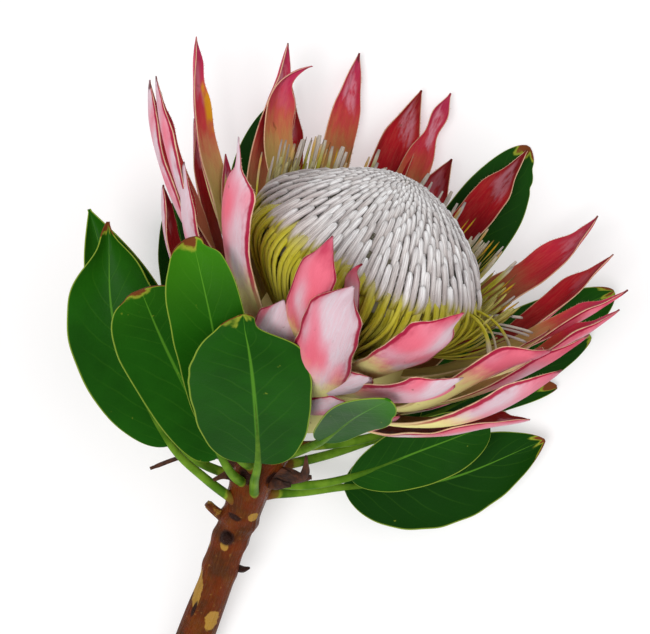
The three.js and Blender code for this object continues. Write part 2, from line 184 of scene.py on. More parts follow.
POLLEN_STYLES = [
    (-145, 49, -3.5, 0.7),
    (147, 53, -5.8, 0.7),
    (149, 52, -7.5, 0.5),
    (135, 54, -8.5, 0.8),
    (132, 54, -7.5, 0.7),
    (130, 54, -11.8, 0.7),
    (119, 57, -15.5, 0.8),
    (117, 58, -15.8, 0.9),
    (111, 57, -21.2, 0.9),
    (105, 57, -17.9, 0.8),
]
DARK_STYLES = [
    (-141, 50, -2.5, 0.5),
    (-152, 50, -2, 0.5),
    (-137, 50, -1.6, 0.6),
    (-131, 50, -2.8, 0.5),
    (-127, 50, -1.8, 0.6),
    (-123, 50, -3.6, 0.5),
    (119, 58, -13.2, 0.4),
]
LEANING_STRAPS = [
    (98, 59, -20.5, 1.2),
    (94, 64, -22.6, 1.2),
    (92, 63, -23.5, 1),
    (89, 63, -25, 1.2),
]
CURLED_STRAPS = [
    (85, 60.4, -30.4, 1.4),
    (72, 57, -34, 2),
    (76, 57.5, -32.6, 0.8),
]
# Where the shorter florets between them stand: first and last azimuth, count, lowest and highest end,
# least and greatest radius, whiteness
FLORET_FILL = [
    (-142, -100, 46, -19, -8, 43, 48, 0.5),
    (-152, -143, 6, -18, -10, 43, 46, 0.7),
    (-174, -159, 12, -16, -7, 42, 46, 0.8),
    (120, 176, 26, -17, -8, 43, 51, 0.8),
    (74, 124, 34, -30, -15, 46, 56, 0.25),
]

# The stem's middle line from its cut end to the head: x, y, z, radius
STEM = [
    (4.5, -196, 6, 6.8),
    (3.4, -176, 9.7, 6.8),
    (2, -158, 14.5, 6.6),
    (0, -140, 20, 6.5),
    (-1, -125, 25.5, 6.8),
    (-3, -113, 31, 8),
    (-2, -101, 36, 7.6),
    (0, -85, 40.9, 6.8),
]

# Where the stem is swollen: share of its length and by how much
STEM_NODES = [(0.54, 0.9), (0.46, 0.5), (0.36, 0.5)]

# Bracts: azimuth, radius and height of the tip, azimuth and height of the foot, lean at the foot and at the
# tip, width, fold
BRACTS = [
    (-90, 97, 1, -84, -66, 58, 22, 15, 60),
    (-81, 95, 8, -70, -64, 55, 26, 16, 62),
    (-75, 75, -14, -64, -74, 60, 15, 18, 65),
    (-92, 78, -33, -84, -80, 75, 20, 15, 40),
    (-108, 96, 14, -100, -62, 53, 22, 15, 45),
    (-110, 85, -14, -110, -74, 65, 30, 12, 40),
    (-54, 71, 10, -46, -66, 45, -5, 24, 45),
    (-133, 85, 19, -117, -67, 56, 22, 18, 50),
    (-133.6, 69, 18, -134, -60, 34, -10, 16, 50),
    (-142, 91, 2, -146, -68, 50, 24, 16, 40),
    (-155.5, 90.5, 21, -154.5, -62, 44, 26, 13, 40),
    (-172.9, 81.5, 19, -170, -62, 40, 20, 15, 40),
    (179.7, 82.5, 22.5, 178, -66, 45, 26, 12, 40),
    (170.5, 71, 3, 166, -71, 46, 26, 16, 40),
    (155, 85, 17, 157, -62, 45, 20, 15, 40),
    (125.5, 84.5, 14, 129, -62, 50, 20, 18, 50),
    (115, 87.5, 7, 92, -68, 52, 22, 13, 50),
    (97.5, 88, 5, 93, -60, 66, 36, 14, 60),
    (89.5, 86.5, 1, 85, -67, 58, 25, 14, 60),
    (74, 82, -5, 73, -71, 62, 25, 13, 50),
    (51.5, 85.5, -5, 65, -68, 76, 57, 20, 50),
    (57.5, 87.5, -12, 71, -76, 72, 25, 21, 45),
    (68.5, 79.5, -40, 87, -83, 82, 50, 18, 40),
    (23.5, 85.5, 2, 24, -63.5, 38, 17, 18, 50),
    (34, 79, -23, 25, -66, 54, 23, 22, 50),
    (-1, 71, -9, 3, -73, 55, 0, 23, 60),
    (-12, 70, 2.5, -15, -65, 45, 0, 16, 60),
    (-2, 54, -7, 16, -60, 44, 40, 6, 60),
    (-22, 54, -32, -28, -79, 60, 0, 20, 60),
    (19, 54, -43, -8, -73, 59, 35, 18, 60),
    (22, 42, -60, 5, -78.5, 62, 36, 14, 60),
]

# How each of those bracts looks: narrowing of its waist, narrowing of its end, sideways and inward hook of
# the end in mm, redness of the inner face, silver down, reach of the cream foot, and the salmon stripe, which
# at 1 also puts an orange streak on the inner face
BRACT_LOOKS = [
    (0, 0.2, 0, 0, 0.6, 0.8, 0.1, 0),
    (0, 0.2, 0, 0, 0.6, 0.6, 0.1, 0),
    (0, 0, 0, 0, 0.6, 0.8, 0.1, 0),
    (0, 0, 0, 0, 0.6, 0.7, 0.1, 0),
    (0.4, 0.2, 0, 0, 0, 0.3, 0.42, 1),
    (0, 0, 0, 0, 0.8, 0.5, 0.2, 0),
    (0, 0.7, 4, -2, 0.5, 0.62, 0.3, 0.3),
    (0.1, 0.2, 0, 0, 0.2, 0.5, 0.36, 0),
    (0, 0.3, 6, 4, 0.15, 0.1, 0.53, 0),
    (0, 0, 0, 0, 1, 0.3, 0.2, 0),
    (0.1, 0, 0, 0, 0.38, 0.4, 0.5, 0),
    (0, 0, 0, 0, 1, 0.35, 0.2, 0),
    (0.45, 0, 0, 0, 0.45, 0.5, 0.48, 0),
    (0, 0, 0, 0, 1, 0.2, 0.2, 0),
    (0, 0.2, 0, 0, 1, 0.3, 0.2, 0),
    (0.15, 0.4, -2, 0, 0.62, 0.2, 0.4, 0),
    (0, 0.3, 0, 0, 0.95, 0.1, 0.2, 0),
    (0, 0.5, -2, 0, 0.1, 0.2, 0.45, 0),
    (0, 0.3, 0, 0, 0.2, 0.65, 0.45, 0.2),
    (0, 0.3, 0, 0, 0.2, 0.6, 0.4, 0.2),
    (0, 0.4, 5, 1, 0.3, 0.45, 0.5, 0.5),
    (0, 0.2, 0, 0, 0.6, 0.62, 0.42, 0.4),
    (0, 0.2, 0, 0, 1, 0.85, 0.1, 0),
    (0, 0.2, -2, 0, 0.5, 0.5, 0.3, 0.5),
    (0, 0.2, -2, 0, 0.8, 0.8, 0.15, 0.2),
    (0, 0, -2, 0, 0.6, 0.72, 0.22, 0.2),
    (0, 0.1, 0, 0, 0.5, 0.5, 0.3, 0.8),
    (0, 0.3, -2, 0, 0.4, 0.3, 0.4, 0.3),
    (0, 0, 0, 0, 0.8, 1, 0, 0),
    (0, 0.1, 0, 0, 0.8, 0.9, 0.1, 0.1),
    (0, 0.1, 0, 0, 0.8, 1, 0.05, 0),
]
HIDDEN_LOOK = (0, 0.1, 0, 0, 0.45, 0.8, 0.32, 0.1)

# Rows of bracts hidden from above: foot height, first and last azimuth, count, tip radius and height,
# lean at the foot and at the tip, width
HIDDEN_ROWS = [
    (-75, 100, 250, 7, 70, -20, 55, 25, 15),
    (-82, 95, 322, 7, 58, -44, 62, 28, 15),
    (-88, 60, 340, 6, 38, -64, 66, 24, 13),
]
TABLE_CLEARANCE = 2.6

# Leaves: five points of each middle line, in the stem, on the petiole, and at the blade's foot, middle and
# tip
LEAVES = [
    ((-4, -114, 28), (-26, -115, 31), (-44, -107, 36), (-72, -79, 46), (-99, -49, 50)),
    ((-2, -123, 29), (-19, -119, 39), (-35, -113, 47), (-70, -84, 62), (-89, -50, 68)),
    ((-4, -115, 33), (-10, -113, 46), (-17, -108, 56), (-51, -80, 84), (-66, -66, 96)),
    ((-4, -108, 38), (-10, -106, 55), (-19, -101, 70), (-35, -71, 99), (-57, -42, 112)),
    ((1, -119, 30), (-2, -112, 46), (-4, -104, 60), (-19, -75, 100), (-30, -58, 119)),
    ((1, -102, 36), (8, -94, 48), (13, -87, 63), (19, -73, 94), (25.6, -62.2, 118)),
    ((1, -111, 32), (15, -106, 32), (29, -96, 30), (48, -76, 28), (67, -56, 27)),
    ((1, -117, 27), (16, -109, 22), (29, -101, 18), (61, -83, 13), (90, -52, 9)),
    ((0, -92, 38), (24, -69, 21), (40, -48, 15), (65, -18, 11), (89, 10, 8)),
    ((0, -98, 35), (27, -82, 21), (44, -66, 14), (68, -37, 7), (89, -9, 4)),
    ((1, -106, 31), (19, -92, 20), (35, -77, 12), (59, -54, 5), (86, -32, 3)),
    ((0, -96, 35), (17, -57, 7), (23, -30, 1.4), (33, 11, 0.3), (36, 46, 0.3)),
    ((-2, -101, 34), (-15, -74, 12), (-28, -51, 3), (-46, -17, 0.3), (-59, 17, 0.3)),
    ((-3, -108, 30), (-22, -98, 20), (-34, -87, 14), (-55, -60, 9), (-76, -33, 7)),
]

# Form of each leaf: half-width to the left and right, roll, rise of the margins, powers of the outline at the
# foot and tip, pointed fold at the tip, and notches as (side, share of the length, depth, reach)
LEAF_FORMS = [
    (12, 19, 0, 8, 0.7, 1.05, 1.6, []),
    (17, 19, 0, 10, 0.7, 0.85, 1.8, [(1, 0.97, 0.7, 0.08), (-1, 0.9, 0.5, 0.12)]),
    (16, 17, 0, 10, 0.4, 0.34, 0, [(-1, 0.97, 0.2, 0.03)]),
    (14, 11.5, 0, 10, 0.65, 0.42, 0.2, [(1, 0.96, 0.45, 0.03), (-1, 0.9, 0.05, 0.05)]),
    (22, 20, 0, 8, 0.45, 0.5, 0, [(1, 0.9, 0.68, 0.12), (-1, 0.93, 0.1, 0.04)]),
    (10.5, 9.5, 40, 10, 0.6, 0.5, 0, [(1, 0.8, 0.08, 0.05)]),
    (11, 13, 0, 6, 0.6, 0.5, 0.2, []),
    (17, 17, 0, 8, 0.6, 0.8, 0.3, []),
    (9, 14, 0, 4, 0.6, 0.6, 0.4, []),
    (11, 8, 0, 4, 0.6, 0.6, 0.3, []),
    (9, 5, 0, 4, 0.6, 0.6, 0.3, []),
    (15, 13, 0, 0, 0.5, 0.62, 0, [(1, 0.9, 0.12, 0.03), (1, 0.8, 0.06, 0.02)]),
    (14, 12, 0, 0, 0.6, 0.7, 0, []),
    (11, 12, 0, 4, 0.6, 0.6, 0.2, []),
]

# How brown each leaf is at its tip, and its yellowness; below 0 the value is painted shade instead, a deeper
# green for leaves that lie in shadow under the head and bracts
LEAF_LOOKS = [
    (0.3, 0.1), (0.8, 0.1), (0.66, 0.2), (0.85, 0.8), (0.55, -0.1), (0.2, 0.6), (0.1, -0.5),
    (1, -0.95), (0.7, -0.3), (0.6, -0.9), (0.9, -0.8), (0.8, -0.7), (0.4, -0.9), (0.4, -0.8),
]

# What grows out of the bark: points, radius at the root and at the end, flatness. First the stub of a shed
# leaf stalk and two buds, then dry scales round the leaf stalks and one long dry sliver.
STUB_AND_BUDS = [
    (((-3, -131, 23), (-9.5, -129.4, 25.5), (-14.4, -128, 27)), 2.3, 1.5, 1),
    (((3, -146, 17), (8.3, -145.4, 17.2), (10.6, -143.6, 17.8)), 1.9, 0.8, 1),
    (((-1, -137, 22), (-2, -136.4, 27), (-2.4, -135.6, 29.3)), 2.7, 1.9, 1),
]
DRY_SCALES = [
    (((2, -107, 36), (10, -105, 39.5), (16, -101.5, 40.5)), 3, 1.1, 0.35),
    (((3, -106, 36), (13, -102.5, 41), (10.7, -95, 44)), 2.8, 0.7, 0.35),
    (((-3, -106, 36), (-5, -101, 45), (-3, -96, 50)), 3.2, 0.9, 0.35),
    (((-4, -115, 30), (-12, -114.5, 38), (-15.8, -118, 41.5)), 2.6, 0.8, 0.35),
    (((1, -110, 33), (6, -109.5, 39.5), (10.5, -107.5, 41)), 2.8, 0.9, 0.35),
    (((-2, -112, 30), (-18, -110, 28), (-29, -116, 25), (-39, -126, 24)), 1.7, 0.6, 0.5),
]
# Bare patches in the bark: share of the stem's length, angle from its top (- is the left side), half-length
# and half-breadth in mm, and how pale the wood is, where 0 is dark, as in scars and in the painted shade of
# the neck's hollow between the leaf stalks
BARK_PATCHES = [
    (0.318, -80, 4.8, 2.8, 0.8),
    (0.285, -62, 5, 2.8, 0.9),
    (0.255, -46, 3.6, 1.8, 0.8),
    (0.219, 33, 4.4, 3, 0.9),
    (0.589, 38, 2.4, 2.4, 1),
    (0.452, -13, 2.2, 1.8, 1),
    (0.484, -17, 3.6, 3.6, 0),
    (0.42, -86, 1.4, 1, 1),
    (0.228, -42, 3.6, 0.9, 0),
    (0.3, 150, 5, 2.4, 0.8),
    (0.5, 200, 3, 2, 0.9),
    (0.12, 110, 4, 2, 0.7),
    # Painted shade: dark patches in the hollow of the neck between the leaf stalks
    (0.76, -17, 4, 3.6, 0),
    (0.8, 52, 4, 3, 0),
    (0.68, -86, 3, 2.4, 0),
    (0.57, -20, 1.6, 3.4, 0),
]

TILT = math.radians(HEAD_TILT)
HEAD = np.array([0.0, 0.0, HEAD_HEIGHT])
AXIS = np.array([0.0, math.cos(TILT), math.sin(TILT)])
UP_SIDE = np.array([0.0, -math.sin(TILT), math.cos(TILT)])
RIGHT_SIDE = np.array([1.0, 0.0, 0.0])
GOLDEN_ANGLE = 180 * (3 - math.sqrt(5))
TOP_CELL = 2.2  # square millimetres of the dome's top that each floret takes up
DENSITY_RATIO = 16  # how many times more it takes up at the rim


# Places and curves


def unit(vectors):
    """Vectors divided by their lengths."""
    return vectors / np.linalg.norm(vectors, axis=-1, keepdims=True)


def ease(low, high, x):
    """A smooth step from 0 at low to 1 at high."""
    t = np.clip((x - low) / (high - low), 0, 1)
    return t * t * (3 - 2 * t)


def bell(middle, reach, x):
    """1 at the middle, falling off as a bell curve with that reach."""
    return np.exp(-(((x - middle) / reach) ** 2))


def ripple(seed, *coordinates):
    """A smooth uneven value round 0: the sum of five sines of the coordinates with seeded directions."""
    random = np.random.default_rng(seed)
    total = 0.0
    for _ in range(5):
        turns = random.normal(size=len(coordinates))
        phase = random.uniform(0, 2 * math.pi)
        total = total + np.sin(sum(t * c for t, c in zip(turns, coordinates)) + phase)
    return total / math.sqrt(5)


def outward(azimuth):
    """The direction away from the head's axis: sin of the azimuth to the right plus cos of it up."""
    a = np.radians(np.asarray(azimuth, float))[..., None]
    return np.sin(a) * RIGHT_SIDE + np.cos(a) * UP_SIDE


def around(azimuth, radius, height):
    """The point at an azimuth and a radius round the head's axis, at a height along it."""
    radius = np.asarray(radius, float)[..., None]
    height = np.asarray(height, float)[..., None]
    return HEAD + radius * outward(azimuth) + height * AXIS


def leaning(azimuth, lean):
    """The direction that leaves the head's axis by a lean, towards an azimuth."""
    return math.sin(math.radians(lean)) * outward(azimuth) + math.cos(math.radians(lean)) * AXIS


def radius_at(profile, height):
    """The radius at a height, straight between the neighbouring (height, radius) points of a profile."""
    heights, radii = zip(*sorted(profile))
    return np.interp(height, heights, radii)


def swelled(rings, line, factor):
    """Rings whose points are moved away from the line's own points by a factor."""
    middle = line[:, None]
    return middle + (rings - middle) * factor[..., None]


def path_along(line):
    """The distance along lines, from their first points."""
    steps = np.linalg.norm(np.diff(line, axis=-2), axis=-1)
    return np.concatenate([np.zeros((*steps.shape[:-1], 1)), np.cumsum(steps, axis=-1)], axis=-1)


def catmull(points, t):
    """A centripetal Catmull-Rom curve through the points, read at t from 0 to 1: each span is a cubic whose
    slopes come from the neighbouring points, weighed by the square roots of their distances."""
    points = np.asarray(points, float)
    points = np.vstack([2 * points[0] - points[1], points, 2 * points[-1] - points[-2]])
    spans = len(points) - 3
    k = np.minimum((np.asarray(t) * spans).astype(int), spans - 1)
    w = (np.asarray(t) * spans - k)[:, None]
    a, b, c, d = (points[k + i] for i in range(4))
    ab, bc, cd = (np.sqrt(np.linalg.norm(q - p, axis=1, keepdims=True)) for p, q in ((a, b), (b, c), (c, d)))
    slope_b = bc * ((b - a) / ab - (c - a) / (ab + bc) + (c - b) / bc)
    slope_c = bc * ((c - b) / bc - (d - b) / (bc + cd) + (d - c) / cd)
    cubic = 2 * b - 2 * c + slope_b + slope_c
    square = 3 * c - 3 * b - 2 * slope_b - slope_c
    return b + w * (slope_b + w * (square + w * cubic))


# Meshes


def placed(name, data):
    """A new object of the scene that holds a mesh, a camera or a light."""
    made = bpy.data.objects.new(name, data)
    bpy.context.scene.collection.objects.link(made)
    return made


class Skin:
    """Closed surfaces gathered as points, faces and values, before they become one mesh."""

    def __init__(self, *names):
        self.points, self.corners, self.sizes, self.kinds, self.grain = [], [], [], [], []
        self.values = {name: [] for name in names}
        self.count = 0

    def add(self, rings, kind=0, grain=(0.0, 0.0, 0.0), **values):
        """Closes rings of points, shaped (copies, rows, round, 3) or (rows, round, 3), into tubes: a quad
        between each pair of neighbours on two rings, and one face over each end."""
        rings = rings.reshape((-1,) + rings.shape[-3:])
        copies, rows, across = rings.shape[:3]
        index = np.arange(copies * rows * across).reshape(copies, rows, across) + self.count
        turned = np.roll(index, -1, axis=2)
        quads = np.stack([index[:, :-1], turned[:, :-1], turned[:, 1:], index[:, 1:]], axis=-1)
        self.corners += [quads.ravel(), index[:, 0, ::-1].ravel(), index[:, -1].ravel()]
        self.sizes += [np.full(quads.size // 4, 4), np.full(2 * copies, across)]
        self.kinds.append(np.full(quads.size // 4 + 2 * copies, kind))
        self.points.append(rings.reshape(-1, 3))
        for name, parts in self.values.items():
            parts.append(np.broadcast_to(values.get(name, 0.0), rings.shape[:3]).ravel())
        self.grain.append(np.broadcast_to(grain, rings.shape).reshape(-1, 3))
        self.count += copies * rows * across

    def object(self, name, materials, slot, *replaced):
        """The mesh in metres as an object that rides on the root body and stands for the replaced nodes."""
        mesh = bpy.data.meshes.new(name)
        points = (np.concatenate(self.points) + PLACE) * MM
        sizes = np.concatenate(self.sizes)
        corners = np.concatenate(self.corners)
        mesh.vertices.add(len(points))
        mesh.vertices.foreach_set("co", points.ravel())
        mesh.loops.add(len(corners))
        mesh.loops.foreach_set("vertex_index", corners.astype(np.int32))
        mesh.polygons.add(len(sizes))
        mesh.polygons.foreach_set("loop_start", (np.cumsum(sizes) - sizes).astype(np.int32))
        mesh.polygons.foreach_set("material_index", np.concatenate(self.kinds).astype(np.int32))
        mesh.update(calc_edges=True)
        mesh.shade_smooth()
        for key, parts in self.values.items():
            attribute = mesh.attributes.new(key, "FLOAT", "POINT")
            attribute.data.foreach_set("value", np.concatenate(parts).astype(np.float32))
        flow = mesh.attributes.new("grain", "FLOAT_VECTOR", "POINT")
        flow.data.foreach_set("vector", np.concatenate(self.grain).astype(np.float32).ravel())
        for material in materials:
            mesh.materials.append(material)
        piece = placed(name, mesh)
        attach(piece, "root")
        if replaced:
            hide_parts(*replaced)


def rod_rings(line, radius, sides, flatness=1.0, up=(0.0, 0.0, 1.0)):
    """Rings round a line, shaped (copies, points, 3): each point plus a flattened circle in the plane that
    is square to the line. The flat sides face along up, which is a direction or one for each point."""
    along = unit(np.gradient(line, axis=-2))
    across = unit(np.cross(along, up))
    rise = np.cross(across, along)
    a = 2 * math.pi * (np.arange(sides) + 0.5) / sides
    radius = np.broadcast_to(radius, line.shape[:-1])[..., None, None]
    flatness = np.broadcast_to(flatness, line.shape[:-1])[..., None, None]
    ring = across[..., None, :] * np.cos(a)[:, None] - rise[..., None, :] * flatness * np.sin(a)[:, None]
    return line[..., None, :] + radius * ring


def blade_rings(surface, normal, thickness):
    """Rings round a blade: over its upper face from one margin to the other, and back under it."""
    upper = surface + normal * thickness[..., None] / 2
    under = surface - normal * thickness[..., None] / 2
    return np.concatenate([upper, under[:, ::-1]], axis=1)


def both_faces(values, under=None):
    """Values on the upper face followed by those on the under face, in the order of blade_rings."""
    under = values if under is None else under
    return np.concatenate([values, under[:, ::-1]], axis=1)


def columns(values):
    """Values by name with one place more, because they stay the same round each ring."""
    return {name: value[..., None] for name, value in values.items()}


def grain_of(distance, path, number):
    """The vector that the grain's noise reads: distance across, distance along and a number of its own."""
    return np.stack(np.broadcast_arrays(distance, path, number), axis=-1)


def margin_steps(count):
    """Shares from -1 to 1 across a blade, closer together towards the margins."""
    return -np.cos(np.linspace(0, math.pi, count))


# Colours and shader nodes


def colour(code):
    """A six-digit colour code as the linear red, green and blue that the shaders use."""
    parts = [int(code[i : i + 2], 16) / 255 for i in (0, 2, 4)]
    return tuple(p / 12.92 if p <= 0.04045 else ((p + 0.055) / 1.055) ** 2.4 for p in parts)


class Wire:
    """The output of a shader node. Plain arithmetic with it adds Math nodes to its tree."""

    def __init__(self, tree, socket):
        self.tree = tree
        self.socket = socket

    def __add__(self, other):
        return self.tree.maths("ADD", self, other)

    def __sub__(self, other):
        return self.tree.maths("SUBTRACT", self, other)

    def __rsub__(self, other):
        return self.tree.maths("SUBTRACT", other, self)

    def __mul__(self, other):
        return self.tree.maths("MULTIPLY", self, other)

    def __truediv__(self, other):
        return self.tree.maths("DIVIDE", self, other)

    def __abs__(self):
        return self.tree.maths("ABSOLUTE", self)

    __radd__ = __add__
    __rmul__ = __mul__

    def step(self, low, high):
        """A smooth step up, from 0 where the value is low to 1 where it is high."""
        inputs = {"Value": self, "From Min": low, "From Max": high}
        return self.tree.node("MapRange", inputs, interpolation_type="SMOOTHSTEP")

    def fade(self, low, high):
        """A smooth step down, from 1 where the value is low to 0 where it is high."""
        return 1.0 - self.step(low, high)


class Tree:
    """A short way to write shader nodes: each method adds a node and gives back its output as a Wire."""

    def __init__(self, tree):
        self.tree = tree

    def put(self, socket, value):
        """Links a Wire to a socket, or sets a plain value on it."""
        if isinstance(value, Wire):
            self.tree.links.new(value.socket, socket)
        elif hasattr(value, "__len__") and len(value) == 3 and socket.type == "RGBA":
            socket.default_value = (*value, 1.0)
        else:
            socket.default_value = value

    def node(self, kind, inputs, output=0, **settings):
        """A node of that kind, its settings made before its inputs are set or linked."""
        made = self.tree.nodes.new("ShaderNode" + kind)
        for key, value in settings.items():
            setattr(made, key, value)
        for key, value in inputs.items():
            self.put(made.inputs[key], value)
        return Wire(self, made.outputs[output])

    def values(self, *names):
        """The values that the mesh carries under those names."""
        return [self.node("Attribute", {}, "Fac", attribute_name=name) for name in names]

    def grain(self):
        return self.node("Attribute", {}, "Vector", attribute_name="grain")

    def place(self):
        return self.node("TexCoord", {}, "Object")

    def maths(self, operation, a, b=0.0):
        return self.node("Math", {0: a, 1: b}, operation=operation)

    def mix(self, share, a, b):
        return self.node("Mix", {0: share, 6: a, 7: b}, 2, data_type="RGBA")

    def coats(self, body, *layers):
        """A colour with further ones laid over it, each as its share and its colour."""
        for share, layer in layers:
            body = self.mix(share, body, layer)
        return body

    def ramp(self, x, *stops):
        """A colour read off stops, each a place from 0 to 1 and its shade."""
        made = self.node("ValToRGB", {"Fac": x}, "Color")
        elements = made.socket.node.color_ramp.elements
        while len(elements) < len(stops):
            elements.new(0.5)
        for element, (place, shade) in zip(elements, stops):
            element.position = place
            element.color = (*shade, 1.0)
        return made

    def noise(self, scale, detail=3.0, roughness=0.55, vector=None):
        """Noise in object space, or over another vector."""
        vector = vector or self.place()
        inputs = {"Vector": vector, "Scale": scale, "Detail": detail, "Roughness": roughness}
        return self.node("TexNoise", inputs)

    def stretch(self, vector, *scale):
        return self.node("Mapping", {"Vector": vector, "Scale": scale})

    def group(self, name, inputs, output="Mask"):
        return self.node("Group", inputs, output, node_tree=shared_group(name))

    def streaks(self, fineness, low, high):
        """A mask of fine streaks along the grain."""
        inputs = {"Grain": self.grain(), "Fineness": fineness, "Low": low, "High": high}
        return self.group("Streaks", inputs)

    def ridges(self, fineness):
        """The streaks' heights, for a relief."""
        return self.group("Streaks", {"Grain": self.grain(), "Fineness": fineness}, "Height")

    def blotches(self, per_metre, threshold, softness=0.06):
        """A mask of soft spots in object space."""
        inputs = {"Place": self.place(), "Per metre": per_metre, "Threshold": threshold, "Softness": softness}
        return self.group("Blotches", inputs)

    def band(self, value, middle, width):
        """A mask of a line across a value."""
        return self.group("Band", {"Value": value, "Middle": middle, "Width": width})


def wire_streaks(t, given):
    """Fine streaks that run with the grain: noise on a vector squeezed lengthwise, as a mask and a height."""
    height = t.noise(given["Fineness"], 4.0, 0.65, t.stretch(given["Grain"], 1.6, 0.13, 1.0))
    return {"Mask": height.step(given["Low"], given["High"]), "Height": height}


def wire_blotches(t, given):
    """Soft spots and patches: noise in object space above a threshold, as a mask."""
    cloud = t.noise(given["Per metre"], 3.0, 0.5, given["Place"])
    return {"Mask": cloud.step(given["Threshold"], given["Threshold"] + given["Softness"])}


def wire_band(t, given):
    """A line across a value: 1 at its middle, and smoothly 0 beyond its width on both sides."""
    away = abs(given["Value"] - given["Middle"])
    return {"Mask": (away / given["Width"]).fade(0.35, 1.0)}


# The shared node groups: how each is wired, and its inputs with their defaults
NO_PLACE = (0.0, 0.0, 0.0)
GROUPS = {
    "Streaks": (wire_streaks, {"Grain": NO_PLACE, "Fineness": 1.0, "Low": 0.4, "High": 0.62}),
    "Blotches": (wire_blotches, {"Place": NO_PLACE, "Per metre": 100.0, "Threshold": 0.6, "Softness": 0.06}),
    "Band": (wire_band, {"Value": 0.0, "Middle": 0.5, "Width": 0.1}),
}


def shared_group(name):
    """The node group of that name, which its first use makes from GROUPS."""
    if name not in bpy.data.node_groups:
        wire_up, inputs = GROUPS[name]
        tree = bpy.data.node_groups.new(name, "ShaderNodeTree")
        for key, default in inputs.items():
            kind = "NodeSocketVector" if isinstance(default, tuple) else "NodeSocketFloat"
            tree.interface.new_socket(key, in_out="INPUT", socket_type=kind).default_value = default
        t = Tree(tree)
        given = tree.nodes.new("NodeGroupInput").outputs
        results = wire_up(t, {key: Wire(t, given[key]) for key in inputs})
        for key in results:
            tree.interface.new_socket(key, in_out="OUTPUT", socket_type="NodeSocketFloat")
        end = tree.nodes.new("NodeGroupOutput").inputs
        for key, result in results.items():
            t.put(end[key], result)
    return bpy.data.node_groups[name]


class Finish(Tree):
    """A material with one Principled shader, its constant sockets set directly."""

    def __init__(self, name, **constants):
        self.material = bpy.data.materials.new(name)
        self.material.use_nodes = True
        super().__init__(self.material.node_tree)
        self.shader = self.tree.nodes["Principled BSDF"].inputs
        for key, value in constants.items():
            self.put(self.shader[key.replace("_", " ")], value)

    def done(self, body, roughness, height=None, strength=0.0, distance=0.0):
        """The material with its colour, its roughness and a relief of that strength and height in metres."""
        self.put(self.shader["Base Color"], body)
        self.put(self.shader["Roughness"], roughness)
        if height:
            inputs = {"Height": height, "Strength": strength, "Distance": distance}
            self.put(self.shader["Normal"], self.node("Bump", inputs, "Normal"))
        return self.material


